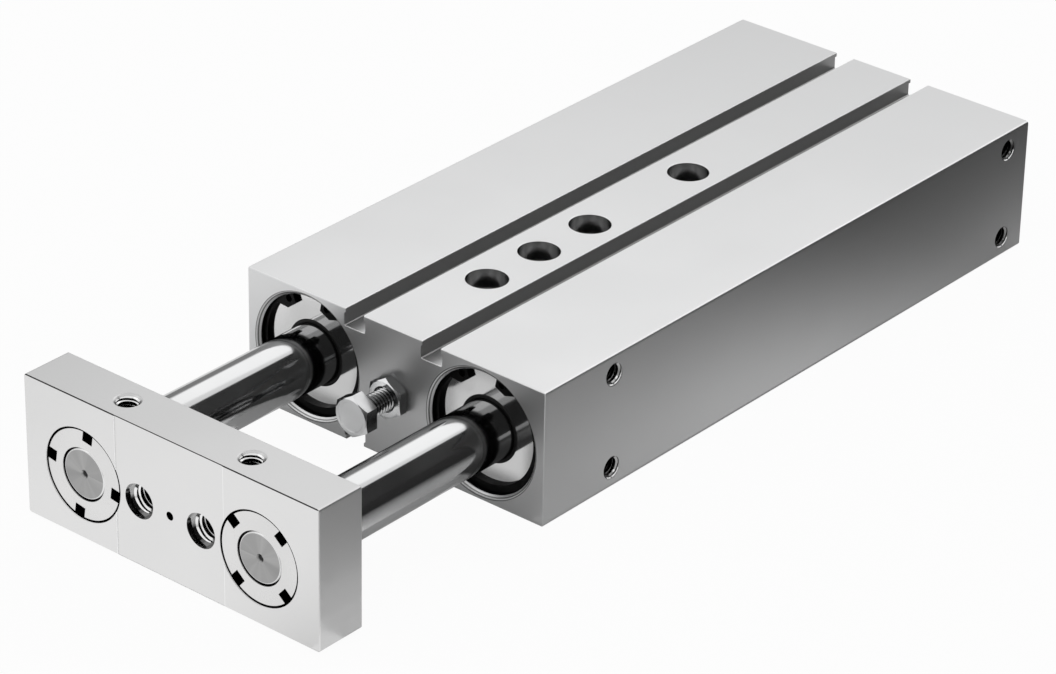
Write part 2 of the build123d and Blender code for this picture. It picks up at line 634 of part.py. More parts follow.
def make_channel_plug():
    """The press-in plug at the rear mouth of the long air channel."""
    y_rear = REAR_Y - CHANNEL_PLUG_SETBACK
    high_z = AXIS_Z + PORT_PITCH / 2
    radius = CHANNEL_DIAMETER / 2
    return rod(radius, y_rear - CHANNEL_PLUG_LENGTH, y_rear, CHANNEL_OFFSET, high_z)


parts = {
    "housing": make_housing(),
    "stop_screw": make_stop_screw(),
    "stop_lock_nut": make_stop_nut(),
    "air_channel_plug": make_channel_plug(),
    "yoke_plate": make_yoke_plate(),
}
for name, x in SIDES.items():
    front_circlip_y = GLAND_FRONT_Y - CIRCLIP_THICKNESS
    gland_groove_y = FRONT_Y + MOUTH_DEPTH + GLAND_O_RING_SETBACK
    cap_groove_y = REAR_Y - MOUTH_DEPTH - CAP_O_RING_SETBACK
    parts[name + "_front_gland"] = make_gland(x)
    parts[name + "_guide_bushes"] = make_bushes(x)
    parts[name + "_rod_wiper"] = make_wiper(x)
    parts[name + "_rod_seal"] = ring(
        ROD_R + RUNNING_FIT, ROD_SEAL_DIAMETER / 2, ROD_SEAL_FRONT_Y, ROD_SEAL_REAR_Y, x
    )
    parts[name + "_gland_o_ring"] = make_o_ring(x, gland_groove_y)
    parts[name + "_front_circlip"] = make_circlip(x, front_circlip_y, FRONT_CIRCLIP_ANGLE)
    parts[name + "_front_cushion"] = make_cushion(x, GLAND_REAR_Y)
    parts[name + "_rear_cap"] = make_rear_cap(x)
    parts[name + "_rear_cap_o_ring"] = make_o_ring(x, cap_groove_y)
    parts[name + "_rear_circlip"] = make_circlip(x, CAP_FACE_Y, REAR_CIRCLIP_ANGLE)
    parts[name + "_rear_cushion"] = make_cushion(x, CAP_NOSE_Y - CUSHION_THICKNESS)
    parts[name + "_piston_rod"] = make_piston_rod(x)
    parts[name + "_ring_nut"] = make_ring_nut(x, RING_SLOT_ANGLES[name])
    parts[name + "_piston"] = make_piston(x)
    parts[name + "_piston_seals"] = make_piston_seals(x)
    parts[name + "_piston_magnet"] = make_magnet(x)
    parts[name + "_piston_nut"] = make_piston_nut(x)

os.makedirs("parts", exist_ok=True)
for name, shape in parts.items():
    shape.label = name
    export_step(shape, f"parts/{name}.step")
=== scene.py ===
# %% [markdown]
# # Double piston cylinder: finish and light
#
# A flat aluminium housing holds two pistons side by side. Their chromed rods come out at the front and
# carry a steel yoke plate. Every piece of the machine is already there at its true size. This file only
# gives it what a drawing leaves out: cut threads, softened edges, the finish of each metal, and light.
#
# All lengths are in metres. X runs to the right, the rods run along Y towards the front (-Y), Z is up.

import bmesh
import bpy
import numpy as np
from mathutils import Matrix, Vector


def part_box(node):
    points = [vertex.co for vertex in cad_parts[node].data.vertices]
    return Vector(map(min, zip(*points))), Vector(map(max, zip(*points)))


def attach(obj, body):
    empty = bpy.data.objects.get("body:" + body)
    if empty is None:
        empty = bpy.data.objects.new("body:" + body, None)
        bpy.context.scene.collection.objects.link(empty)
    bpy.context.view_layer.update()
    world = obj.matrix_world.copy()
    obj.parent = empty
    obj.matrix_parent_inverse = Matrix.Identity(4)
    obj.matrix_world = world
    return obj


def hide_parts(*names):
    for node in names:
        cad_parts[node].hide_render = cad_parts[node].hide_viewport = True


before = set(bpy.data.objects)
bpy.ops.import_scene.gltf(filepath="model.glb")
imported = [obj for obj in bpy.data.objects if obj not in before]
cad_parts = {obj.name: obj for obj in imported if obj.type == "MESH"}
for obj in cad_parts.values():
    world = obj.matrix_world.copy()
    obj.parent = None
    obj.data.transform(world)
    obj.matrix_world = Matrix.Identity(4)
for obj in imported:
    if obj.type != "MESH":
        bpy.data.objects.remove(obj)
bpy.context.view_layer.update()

MM = 0.001
print("pieces in the frame:", len(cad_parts))

# %% [markdown]
# ## Measures read from the frame
#
# A new piece has to sit exactly where the machined one is. Copying coordinates by hand goes wrong as soon
# as a size changes, so the places are read from the boxes of the pieces that carry them.

# %% Places of the housing, the yoke and the two bores
housing_low, housing_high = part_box("housing")
yoke_low, yoke_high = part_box("yoke_plate")
gland_low, gland_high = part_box("right_front_gland")
AXIS_Z = (housing_low.z + housing_high.z) / 2
BORE_X = (gland_low.x + gland_high.x) / 2
SIDES = {"left": -BORE_X, "right": BORE_X}
BACK = (0, 1, 0)
FORWARD = (0, -1, 0)
DOWN = (0, 0, -1)
print("rod axes at x =", round(BORE_X / MM, 2), "mm, z =", round(AXIS_Z / MM, 2), "mm")

# %% [markdown]
# ## The camera
#
# The product is seen from its front right corner and from above, through a long lens. A long lens keeps
# the edges nearly parallel, which is how a catalogue shows a machine part. The camera is placed by two
# angles and a distance from the point that it looks at, and rolled a little about its line of sight.

# %% The camera at the front right corner
AIM = Vector((0.0055, -0.0553, 0.0185))
AZIMUTH = np.radians(39.82)
ELEVATION = np.radians(28.59)
ROLL = np.radians(1.09)
DISTANCE = 1.1257
LENS = 153.13

level = np.cos(ELEVATION)
backwards = Vector((np.sin(AZIMUTH) * level, -np.cos(AZIMUTH) * level, np.sin(ELEVATION)))
right = Vector((np.cos(AZIMUTH), np.sin(AZIMUTH), 0))
up = backwards.cross(right)
rolled_right = right * np.cos(ROLL) + up * np.sin(ROLL)
rolled_up = up * np.cos(ROLL) - right * np.sin(ROLL)
lens = bpy.data.cameras.new("camera")
lens.lens = LENS
lens.sensor_width = 36
lens.clip_start = 0.05
camera = bpy.data.objects.new("camera", lens)
camera.matrix_world = Matrix((rolled_right, rolled_up, backwards)).transposed().to_4x4()
camera.location = AIM + backwards * DISTANCE
bpy.context.scene.collection.objects.link(camera)
bpy.context.scene.camera = camera
bpy.context.scene.view_settings.view_transform = "Standard"
print("camera at", [round(v, 3) for v in camera.location])

# %% [markdown]
# ## Short words for node trees
#
# Every finish below is a tree of shader nodes. Wiring nodes by hand takes three lines for each, so a few
# helpers add a node, set it and link it in one line, and read almost like a formula.

# %% Helpers that add one node
def add_node(tree, kind, sockets=None, **settings):
    """Adds one node. A socket takes a plain value or a link from another node's socket."""
    made = tree.nodes.new(kind)
    for key, value in settings.items():
        setattr(made, key, value)
    for key, value in (sockets or {}).items():
        if isinstance(value, bpy.types.NodeSocket):
            tree.links.new(value, made.inputs[key])
        else:
            made.inputs[key].default_value = value
    return made


def calc(tree, operation, *values):
    """One Math node, from numbers or sockets to a socket."""
    return add_node(tree, "ShaderNodeMath", dict(enumerate(values)), operation=operation).outputs[0]


def vector_calc(tree, operation, *values):
    """One Vector Math node, from vectors or sockets to a socket. A length or dot product is a number."""
    sockets = dict(enumerate(values))
    made = add_node(tree, "ShaderNodeVectorMath", sockets, operation=operation)
    return made.outputs["Value" if operation in ("LENGTH", "DOT_PRODUCT") else "Vector"]


def smooth_step(tree, value, low, high, at_low=0.0, at_high=1.0):
    """Goes smoothly from at_low, where value is low, to at_high, where it is high."""
    sockets = {"Value": value, "From Min": low, "From Max": high, "To Min": at_low, "To Max": at_high}
    return add_node(tree, "ShaderNodeMapRange", sockets, interpolation_type="SMOOTHSTEP").outputs[0]


def mix_colours(tree, factor, first, second):
    """Goes from the first colour, at 0, to the second, at 1."""
    return add_node(tree, "ShaderNodeMix", {0: factor, 6: first, 7: second}, data_type="RGBA").outputs[2]


def own_place(tree):
    """Where a point is, in the piece's own coordinates."""
    return add_node(tree, "ShaderNodeTexCoord").outputs["Object"]


def split(tree, vector):
    """The X, Y and Z of a vector."""
    return add_node(tree, "ShaderNodeSeparateXYZ", {0: vector}).outputs


# %% Helpers that add a few nodes
def product(tree, *values):
    """All the values multiplied, one after the other."""
    result = values[0]
    for value in values[1:]:
        result = calc(tree, "MULTIPLY", result, value)
    return result


def apart(tree, first, second):
    """How far two values are apart: |first - second|."""
    return calc(tree, "ABSOLUTE", calc(tree, "SUBTRACT", first, second))


def short_of(tree, value, limit, start, full):
    """A mask that is 0 where the value is start millimetres short of the limit, and 1 where it is full
    millimetres short of it. A number below zero lies beyond the limit."""
    return smooth_step(tree, value, limit - start * MM, limit - full * MM)


def from_axis(tree, three, axis_x, axis_z):
    """How far sideways and upwards a point is from an axis along Y. |x| folds the two sides onto one."""
    across = calc(tree, "SUBTRACT", calc(tree, "ABSOLUTE", three[0]), axis_x)
    return across, calc(tree, "SUBTRACT", three[2], axis_z)


def reach_of(tree, across, upwards):
    """The straight distance: sqrt(across^2 + upwards^2)."""
    square = calc(tree, "MULTIPLY_ADD", across, across, calc(tree, "MULTIPLY", upwards, upwards))
    return calc(tree, "SQRT", square)


def mirrored_ray(tree, rays):
    """1 for light that a piece mirrors or lets through."""
    return calc(tree, "MAXIMUM", rays["Is Glossy Ray"], rays["Is Transmission Ray"])


# %% Helpers for node groups
def new_group(name, inputs, output, output_kind="NodeSocketFloat"):
    """An empty node group with one output. Returns its tree, its input sockets and its output node."""
    tree = bpy.data.node_groups.new(name, "ShaderNodeTree")
    for label, start in inputs.items():
        kind = "NodeSocketVector" if isinstance(start, tuple) else "NodeSocketFloat"
        tree.interface.new_socket(label, in_out="INPUT", socket_type=kind).default_value = start
    tree.interface.new_socket(output, in_out="OUTPUT", socket_type=output_kind)
    print("node group:", name)
    return tree, add_node(tree, "NodeGroupInput").outputs, add_node(tree, "NodeGroupOutput").inputs


def place_group(tree, group, **values):
    """Puts the group in a tree with its own values, where _ stands for a space, and returns its output."""
    made = add_node(tree, "ShaderNodeGroup", node_tree=group)
    for key, value in values.items():
        made.inputs[key.replace("_", " ")].default_value = value
    return made.outputs[0]


# %% [markdown]
# ## Floor, sky and studio lights
#
# A polished rod shows nothing but its surroundings, so here the surroundings are the real subject. The
# floor and the sky are white. One large soft light hangs high at the back left, where the top of the
# housing mirrors it, and a weaker one fills from the front left.

# %% The sky: white where it is seen or mirrored, plainer as a lamp
SKY_LAMP = 0.7
SKY_SEEN_TWICE = 0.3  # at the second bounce, where one piece mirrors another

world = bpy.data.worlds.new("sky")
world.use_nodes = True
bpy.context.scene.world = world
tree = world.node_tree
rays = add_node(tree, "ShaderNodeLightPath").outputs
seen = calc(tree, "MAXIMUM", rays["Is Camera Ray"], mirrored_ray(tree, rays))
strength = smooth_step(tree, seen, 0.0, 1.0, SKY_LAMP, 1.0)
strength = smooth_step(tree, rays["Glossy Depth"], 1.0, 2.0, strength, SKY_SEEN_TWICE)
sky = tree.nodes["Background"]
sky.inputs["Color"].default_value = (1, 1, 1, 1)
tree.links.new(strength, sky.inputs["Strength"])
print("sky lamp strength:", SKY_LAMP)


# %% Sheets of the studio
def grid_faces(rows, columns):
    """Four-sided faces that join each point of a grid to its neighbours, as numbers of the points."""
    corner = np.arange(rows * columns).reshape(rows, columns)
    corners = [corner[:-1, :-1], corner[1:, :-1], corner[1:, 1:], corner[:-1, 1:]]
    return np.stack(corners, axis=-1).reshape(-1, 4)


def stage_sheet(name, points):
    """A sheet of the studio through a grid of points, with a UV map from 0 to 1 along both directions."""
    points = np.array(points, float)
    rows, columns = points.shape[:2]
    faces = grid_faces(rows, columns)
    mesh = bpy.data.meshes.new(name)
    mesh.from_pydata(points.reshape(-1, 3).tolist(), [], faces.tolist())
    u, v = np.meshgrid(np.linspace(0, 1, columns), np.linspace(0, 1, rows))
    spots = np.stack([u, v], axis=-1).reshape(-1, 2)
    mesh.uv_layers.new(name="UVMap").data.foreach_set("uv", spots[faces.ravel()].ravel())
    sheet = bpy.data.objects.new(name, mesh)
    bpy.context.scene.collection.objects.link(sheet)
    print("sheet:", name)
    return sheet


def flat_points(centre, right, up, width, height):
    """Corner = centre +- right * half width +- up * half height."""
    centre, half_right, half_up = np.array(centre), np.array(right) * width / 2, np.array(up) * height / 2
    return [[centre + a * half_right + b * half_up for a in (-1, 1)] for b in (-1, 1)]


# %% The floor
FLOOR_SIZE = 12.0
FLOOR_COLOUR = (0.82, 0.82, 0.82, 1)
FLOOR_SEEN_GLOW = 0.95
FLOOR_MIRRORED_GLOW = 0.08
EAST, NORTH, UPWARDS = (1, 0, 0), (0, 1, 0), (0, 0, 1)

floor = stage_sheet("floor", flat_points((0, 0, 0), EAST, NORTH, FLOOR_SIZE, FLOOR_SIZE))
paper = bpy.data.materials.new("pale_floor")
paper.use_nodes = True
tree = paper.node_tree
rays = add_node(tree, "ShaderNodeLightPath").outputs
seen = calc(tree, "MULTIPLY", rays["Is Camera Ray"], FLOOR_SEEN_GLOW)
mirrored = calc(tree, "MULTIPLY", mirrored_ray(tree, rays), FLOOR_MIRRORED_GLOW)
glow = calc(tree, "MAXIMUM", seen, mirrored)
matt = add_node(tree, "ShaderNodeBsdfDiffuse", {"Color": FLOOR_COLOUR}).outputs[0]
white = add_node(tree, "ShaderNodeEmission", {"Color": (1, 1, 1, 1), "Strength": 1.0}).outputs[0]
both = add_node(tree, "ShaderNodeMixShader", {0: glow, 1: matt, 2: white}).outputs[0]
tree.links.new(both, tree.nodes["Material Output"].inputs["Surface"])
floor.data.materials.append(paper)


# %% Soft lights
def soft_light(name, direction, distance, width, height, radiance):
    """A rectangular lamp that looks back at the object. Power = radiance * pi * area."""
    lamp = bpy.data.lights.new(name, "AREA")
    lamp.shape = "RECTANGLE"
    lamp.size = width
    lamp.size_y = height
    lamp.energy = radiance * np.pi * width * height
    direction = Vector(direction).normalized()
    holder = bpy.data.objects.new(name, lamp)
    holder.location = AIM + direction * distance
    holder.rotation_euler = direction.to_track_quat("Z", "Y").to_euler()
    holder.visible_camera = False
    bpy.context.scene.collection.objects.link(holder)
    print(name, "power in watts:", round(lamp.energy, 2))


soft_light("back_left_softbox", (-0.33, 0.66, 0.68), distance=1.3, width=1.0, height=0.6, radiance=0.42)
soft_light("front_left_fill", (-0.75, -0.75, 0.75), distance=1.5, width=0.8, height=0.8, radiance=0.25)

# %% [markdown]
# White alone makes metal look like paper. A product photographer puts up cards just outside the picture:
# black ones draw dark lines in the rods and shade the long side, and white and pale ones lift a face. The
# same is done here, with cards that only reflections see. Their rims fade out, so that no hard line shows
# in the metal.
#
# Where one polished piece mirrors another, light has bounced twice. Some cards act only from that second
# bounce on. They shade what the rods show of the yoke and the glands, and leave the first view alone.

# %% Kinds of cards
HARD_RIM = 0.001  # the share of a card within which a side without a rim ends
CARD_LIFT = 0.5 * MM  # the height of the lowest card over the floor, and of each next one over the last
ARC_COLUMNS = 33
RODS_MIDDLE = np.array((0, -0.13, AXIS_Z))


def card(name, points, level, rims, first_bounce=0):
    """A card that glows at that level and fades out at its sides. rims holds how far in each side fades,
    as a share of the card: left, right, lower, upper. Cover = the product of one smooth step from each.
    Light that has bounced fewer times than first_bounce doesn't see it."""
    sheet = stage_sheet(name, points)
    paint = bpy.data.materials.new(name)
    paint.use_nodes = True
    tree = paint.node_tree
    spot = add_node(tree, "ShaderNodeTexCoord").outputs["UV"]
    u, v = split(tree, spot)[:2]
    left, right, lower, upper = (max(rim, HARD_RIM) for rim in rims)
    sides = ((u, 0.0, left), (u, 1.0, 1 - right), (v, 0.0, lower), (v, 1.0, 1 - upper))
    bounces = add_node(tree, "ShaderNodeLightPath").outputs["Glossy Depth"]
    late_enough = calc(tree, "GREATER_THAN", bounces, first_bounce - 0.5)
    cover = product(tree, *(smooth_step(tree, value, edge, full) for value, edge, full in sides), late_enough)
    clear = add_node(tree, "ShaderNodeBsdfTransparent").outputs[0]
    tone = add_node(tree, "ShaderNodeEmission", {"Color": (level, level, level, 1)}).outputs[0]
    mixed = add_node(tree, "ShaderNodeMixShader", {0: cover, 1: clear, 2: tone}).outputs[0]
    tree.links.new(mixed, tree.nodes["Material Output"].inputs["Surface"])
    sheet.data.materials.append(paint)
    for ray in ("camera", "diffuse", "transmission", "volume_scatter", "shadow"):
        setattr(sheet, "visible_" + ray, False)


def wall_card(name, centre, along, width, height, level, rims):
    """An upright card. along is the direction of its lower edge."""
    card(name, flat_points(centre, along, UPWARDS, width, height), level, rims)


def floor_card(name, low, high, level, rims, lifts=1, first_bounce=0):
    """A card that lies over the floor from one corner to the other, as many lifts up as it says."""
    middle = ((low[0] + high[0]) / 2, (low[1] + high[1]) / 2, lifts * CARD_LIFT)
    points = flat_points(middle, EAST, NORTH, high[0] - low[0], high[1] - low[1])
    card(name, points, level, rims, first_bounce)


def arc_card(name, reach, slants, turns, level, rims, first_bounce=0):
    """A card bent round the rods' direction, reach metres away from their middle along it.
    Point = middle + reach * along + |reach| * tan(slant) * (cos(turn) * right + sin(turn) * up). slants
    and turns are its first and last angles in degrees."""
    slants = np.tan(np.radians(slants))[:, None, None]
    turns = np.radians(np.linspace(*turns, ARC_COLUMNS))[None, :, None]
    outwards = np.cos(turns) * np.array(EAST) + np.sin(turns) * np.array(UPWARDS)
    points = RODS_MIDDLE + reach * np.array(NORTH) + abs(reach) * slants * outwards
    card(name, points, level, rims, first_bounce)


# %% Cards round the rods' direction
# Each: name, reach, first and last slant, first and last turn, level, rims.
ARC_REACH = 1.13
AHEAD = (15.0, 75.0)

arc_card("dark_arc_behind", ARC_REACH, (45.5, 57.0), (-1.0, 77.5), 0.03, (0.0, 0.015, 0.08, 0.08))
arc_card("dark_arc_in_front", -ARC_REACH, AHEAD, (-1.0, 88.0), 0.02, (0.0, 0.03, 0.05, 0.05), first_bounce=2)
arc_card("pale_arc_in_front", -ARC_REACH, AHEAD, (88.0, 170.0), 0.35, (0.03, 0.3, 0.05, 0.05), first_bounce=2)

# %% Cards at the walls and on the floor
# Each on the floor: name, near left corner, far right corner, level, rims.
RIGHT_WALL = {"centre": (0.98, 0.72, 0.24), "along": (0.67, -0.74, 0), "width": 1.9, "height": 0.48}
LEFT_WALL = {"centre": (-0.75, 0.85, 0.26), "along": (0.67, 0.74, 0), "width": 1.7, "height": 0.74}

wall_card("low_black_card_right", **RIGHT_WALL, level=0.03, rims=(0.1, 0.1, 0.0, 0.35))
floor_card("black_card_on_floor", (0.0, -0.3), (1.06, 1.05), 0.03, (0.095, 0.06, 0.27, 0.05))
floor_card("pale_strip_along_housing", (0.045, -0.17), (0.115, 0.1), 0.52, (0.0, 0.85, 0.7, 0.5), lifts=2)
floor_card("pale_strip_along_yoke", (0.045, -0.19), (0.085, -0.11), 1.0, (0.0, 0.9, 0.1, 0.5), lifts=3)
floor_card("white_card_on_floor", (-0.8, -0.98), (0.1, -0.168), 1.1, (0.15, 0.1, 0.1, 0.0))
floor_card("pale_card_on_floor", (-0.8, -0.5), (-0.055, 0.3), 0.85, (0.15, 0.05, 0.1, 0.2))
floor_card(
    "dark_card_seen_twice", (-0.25, -0.17), (0.25, -0.01), 0.04, (0.1, 0.1, 0.1, 0.1), lifts=3, first_bounce=2
)
wall_card("grey_card_left", **LEFT_WALL, level=0.28, rims=(0.1, 0.1, 0.0, 0.22))

# %% [markdown]
# The front faces are polished flat, and each mirrors one small patch of the floor. A card laid on that
# patch sets the tone of just that face. Following the ray back gives its place: a ray from the camera to a
# face comes down on the floor at face point + height * drift, where drift = (-camera x, camera y) /
# camera z, from the direction towards the camera.

# %% Small cards where the polished front faces mirror the floor
DRIFT = np.array((-backwards.x, backwards.y)) / backwards.z


def mirrored_card(name, x, y, half, level, rim):
    """A card over the floor that a square front face at the rods' height mirrors. half is half its side."""
    corners = [[(x + a * half, AXIS_Z + b * half) for a in (-1, 1)] for b in (-1, 1)]
    points = [[(px + pz * DRIFT[0], y + pz * DRIFT[1], 2 * CARD_LIFT) for px, pz in row] for row in corners]
    card(name, points, level, (rim, rim, rim, rim))


screw_low, screw_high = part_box("stop_screw")
nut_low, nut_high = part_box("stop_lock_nut")
for side, x in SIDES.items():
    mirrored_card(side + "_card_for_gland", x, gland_low.y, half=14 * MM, level=0.6, rim=0.15)
mirrored_card("card_for_screw_head", 0, screw_low.y, half=7 * MM, level=0.55, rim=0.1)
mirrored_card("card_for_lock_nut", 0, nut_low.y, half=6 * MM, level=0.9, rim=0.2)

# %% [markdown]
# ## Effects that several finishes share
#
# A metal looks real when its roughness and colour change a little over the surface. Six effects return on
# the pieces, so each is a node group with named inputs: worn edges that also carry a painted highlight,
# eased edges, the painted shade inside a hole, fine grain, handling marks and the rings that a lathe leaves.
# All read the piece's own coordinates, so nothing slides when it moves.

# %% Worn edges of a block, which also carry a painted highlight
# On a face one of the three distances to the pairs of faces is zero, so the middle one of the three is
# the distance to the nearest edge.
def from_faces(tree, place, given):
    """For each pair of a block's faces, distance = |half size - |place - centre||."""
    from_centre = vector_calc(tree, "ABSOLUTE", vector_calc(tree, "SUBTRACT", place, given["Centre"]))
    return vector_calc(tree, "ABSOLUTE", vector_calc(tree, "SUBTRACT", given["Half Size"], from_centre))


edge_wear_and_highlight, given, leave = new_group(
    "edge wear and highlight", {"Centre": (0.0, 0.0, 0.0), "Half Size": (1.0, 1.0, 1.0), "Width": 0.4 * MM}, "Wear"
)
tree = edge_wear_and_highlight
place = own_place(tree)
three = split(tree, from_faces(tree, place, given))
nearer = calc(tree, "MINIMUM", three[0], three[1])
farther = calc(tree, "MAXIMUM", three[0], three[1])
middle = calc(tree, "MAXIMUM", nearer, calc(tree, "MINIMUM", farther, three[2]))
ragged = add_node(tree, "ShaderNodeTexNoise", {"Vector": place, "Scale": 900.0, "Detail": 3.0}).outputs[0]
distance = calc(tree, "ADD", middle, calc(tree, "MULTIPLY", ragged, given["Width"]))
tree.links.new(smooth_step(tree, distance, given["Width"], 0.0), leave["Wear"])

# %% Eased edges of a block
# An edge that looks sharp is still rounded by a few tenths, and the round catches the light. Here only the
# surface's direction turns: direction = own direction + turn * sign(place - centre) * closeness, where
# closeness rises from 0 to 1 over the last width before each pair of faces.
ALL_ONE = (1.0, 1.0, 1.0)
eased_edges, given, leave = new_group(
    "eased edges",
    {"Centre": (0.0, 0.0, 0.0), "Half Size": ALL_ONE, "Width": ALL_ONE, "Turn": (3.0, 3.0, 3.0)},
    "Normal",
    "NodeSocketVector",
)
tree = eased_edges
place = own_place(tree)
share = vector_calc(tree, "DIVIDE", from_faces(tree, place, given), given["Width"])
closeness = vector_calc(tree, "SUBTRACT", ALL_ONE, vector_calc(tree, "MINIMUM", share, ALL_ONE))
towards = vector_calc(tree, "SIGN", vector_calc(tree, "SUBTRACT", place, given["Centre"]))
pull = vector_calc(tree, "MULTIPLY", towards, closeness)
own = add_node(tree, "ShaderNodeNewGeometry").outputs["Normal"]
turned = vector_calc(tree, "ADD", own, vector_calc(tree, "MULTIPLY", pull, given["Turn"]))
tree.links.new(vector_calc(tree, "NORMALIZE", turned), leave["Normal"])

# %% Inside of a hole, where little light reaches
# From the centre of a mouth, away = length of (place - centre) * across, and deep = (place - centre) along
# inwards. |x| stands for x, so that one hole serves the left and the right side.
hole_inside, given, leave = new_group(
    "hole inside",
    {
        "Centre": (0.0, 0.0, 0.0),
        "Across": (1.0, 0.0, 1.0),
        "Inwards": (0.0, 1.0, 0.0),
        "Radius": 10.0 * MM,
        "Rim": 0.05 * MM,
        "Start": 0.0,
        "Fade": 0.5 * MM,
    },
    "Inside",
)
tree = hole_inside
three = split(tree, own_place(tree))
one_side = {0: calc(tree, "ABSOLUTE", three[0]), 1: three[1], 2: three[2]}
folded = add_node(tree, "ShaderNodeCombineXYZ", one_side).outputs[0]
offset = vector_calc(tree, "SUBTRACT", folded, given["Centre"])
away = vector_calc(tree, "LENGTH", vector_calc(tree, "MULTIPLY", offset, given["Across"]))
deep = vector_calc(tree, "DOT_PRODUCT", offset, given["Inwards"])
full_radius = calc(tree, "SUBTRACT", given["Radius"], given["Rim"])
within = smooth_step(tree, away, given["Radius"], full_radius)
below = smooth_step(tree, deep, given["Start"], calc(tree, "ADD", given["Start"], given["Fade"]))
tree.links.new(calc(tree, "MULTIPLY", within, below), leave["Inside"])

# %% Fine grain, stretched along the tool's path
fine_grain, given, leave = new_group("fine grain", {"Stretch": (3000.0, 3000.0, 3000.0)}, "Grain")
tree = fine_grain
stretched = vector_calc(tree, "MULTIPLY", own_place(tree), given["Stretch"])
grain = add_node(tree, "ShaderNodeTexNoise", {"Vector": stretched, "Scale": 1.0, "Detail": 3.0})
tree.links.new(grain.outputs[0], leave["Grain"])

# %% Handling marks: broad soft clouds and a few small specks
CLOUD_RANGE = (0.25, 0.75)  # the noise that turns into marks, from none to full
SPECK_RANGE = (0.70, 0.80)
SPECKS_FINER = 26.0
SPECKS_SHOW = 0.7

handling, given, leave = new_group("handling marks", {"Scale": 30.0}, "Marks")
tree = handling
place = own_place(tree)
speck_scale = calc(tree, "MULTIPLY", given["Scale"], SPECKS_FINER)
cloud, speck = (
    add_node(tree, "ShaderNodeTexNoise", {"Vector": place, "Scale": scale, "Detail": 2.0}).outputs[0]
    for scale in (given["Scale"], speck_scale)
)
clouds = smooth_step(tree, cloud, *CLOUD_RANGE)
specks = smooth_step(tree, speck, *SPECK_RANGE, 0.0, SPECKS_SHOW)
tree.links.new(calc(tree, "MAXIMUM", clouds, specks), leave["Marks"])

# %% Turning marks: rings about the axes of both bores
# The noise is read along one line: distance from the axis + distance along it. On an end face that draws
# rings, and on a round wall it draws bands, as a lathe tool does.
turning, given, leave = new_group(
    "turning marks", {"Centre X": 0.0, "Centre Z": 0.0, "Pitch": 0.3 * MM}, "Rings"
)
tree = turning
three = split(tree, own_place(tree))
from_bore = reach_of(tree, *from_axis(tree, three, given["Centre X"], given["Centre Z"]))
beat = calc(tree, "DIVIDE", calc(tree, "ADD", from_bore, three[1]), given["Pitch"])
rings = add_node(tree, "ShaderNodeTexNoise", {"W": beat, "Scale": 1.0, "Detail": 2.0}, noise_dimensions="1D")
tree.links.new(rings.outputs[0], leave["Rings"])

# %% [markdown]
# ## The metals
#
# All metals here follow one recipe: a base colour that shifts a little under handling marks, a roughness
# that shifts with it, and a shallow grain that bends the light. What tells a blasted housing from a ground
# plate or a turned cap is the size and direction of the grain and how wide the shine spreads.

# %% One recipe for the metals
def colour(level, warmth=0.0):
    """A grey of that level, a little warmer or cooler."""
    return (level * (1 + warmth), level, level * (1 - warmth), 1)


def new_finish(name, metallic=1.0):
    """A new material. Returns it with its node tree and its main shader."""
    material = bpy.data.materials.new(name)
    material.use_nodes = True
    shader = material.node_tree.nodes["Principled BSDF"]
    shader.inputs["Metallic"].default_value = metallic
    print("finish:", name)
    return material, material.node_tree, shader


def finish_surface(tree, shader, base, roughness, marks, height, depth, spread=0.06, shade=0.04, facing=None):
    """Colour = base, darker by shade under marks. Roughness = roughness + spread * (marks - 1/2).
    Height is a socket from 0 to 1, and depth is how deep it goes, in metres. facing is the direction of the
    surface, where that isn't its own."""
    darker = tuple(c * (1 - shade) for c in base[:3]) + (1,)
    tree.links.new(mix_colours(tree, marks, base, darker), shader.inputs["Base Color"])
    shift = calc(tree, "MULTIPLY_ADD", marks, spread, roughness - spread / 2)
    tree.links.new(shift, shader.inputs["Roughness"])
    bump = add_node(tree, "ShaderNodeBump", {"Height": height, "Distance": depth, "Strength": 1.0})
    if facing:
        tree.links.new(facing, bump.inputs["Normal"])
    tree.links.new(bump.outputs[0], shader.inputs["Normal"])


def grained(name, base, roughness, stretch, scale, depth, spread, shade, metallic=1.0, eased=None):
    """A finish with fine grain. stretch is how fine the grain is along X, Y and Z, and scale how small the
    handling marks are. eased holds the values of the eased edges, for a block."""
    material, tree, shader = new_finish(name, metallic)
    grain = place_group(tree, fine_grain, Stretch=stretch)
    marks = place_group(tree, handling, Scale=scale)
    facing = place_group(tree, eased_edges, **eased) if eased else None
    finish_surface(tree, shader, base, roughness, marks, grain, depth, spread, shade, facing)
    return material, tree, shader


# %% Changes over a part of the surface
def relink_colour(tree, shader, factor, second):
    """Lays a second colour over the base colour that is already linked."""
    base = shader.inputs["Base Color"].links[0].from_socket
    tree.links.new(mix_colours(tree, factor, base, second), shader.inputs["Base Color"])


def relink_roughness(tree, shader, factor, second):
    """Goes from the roughness that is already linked to a second one."""
    first = shader.inputs["Roughness"].links[0].from_socket
    change = calc(tree, "SUBTRACT", second, first)
    tree.links.new(calc(tree, "MULTIPLY_ADD", factor, change, first), shader.inputs["Roughness"])


def brighten_edges(tree, shader, mask, edge_colour, roughness):
    """Edges are painted brighter and smoother: partly rubbed wear, partly a painted highlight where an edge
    catches the light.
    """
    relink_colour(tree, shader, mask, edge_colour)
    relink_roughness(tree, shader, mask, roughness)


# %% [markdown]
# The housing is extruded, milled and then anodised without colour. Anodising leaves an even, very fine
# matt skin. Its edges are painted brighter: partly the wear where it is touched most, partly a painted
# highlight where an edge catches the light. Two tests of place find the edges: the block's own box, and
# the four slot mouths, which run the whole length on top and underneath.

# %% Satin aluminium of the housing
SLOT_CENTRE = 12.5 * MM
SLOT_HALF = 3.0 * MM
SLOT_EDGE_WIDTH = 0.25 * MM

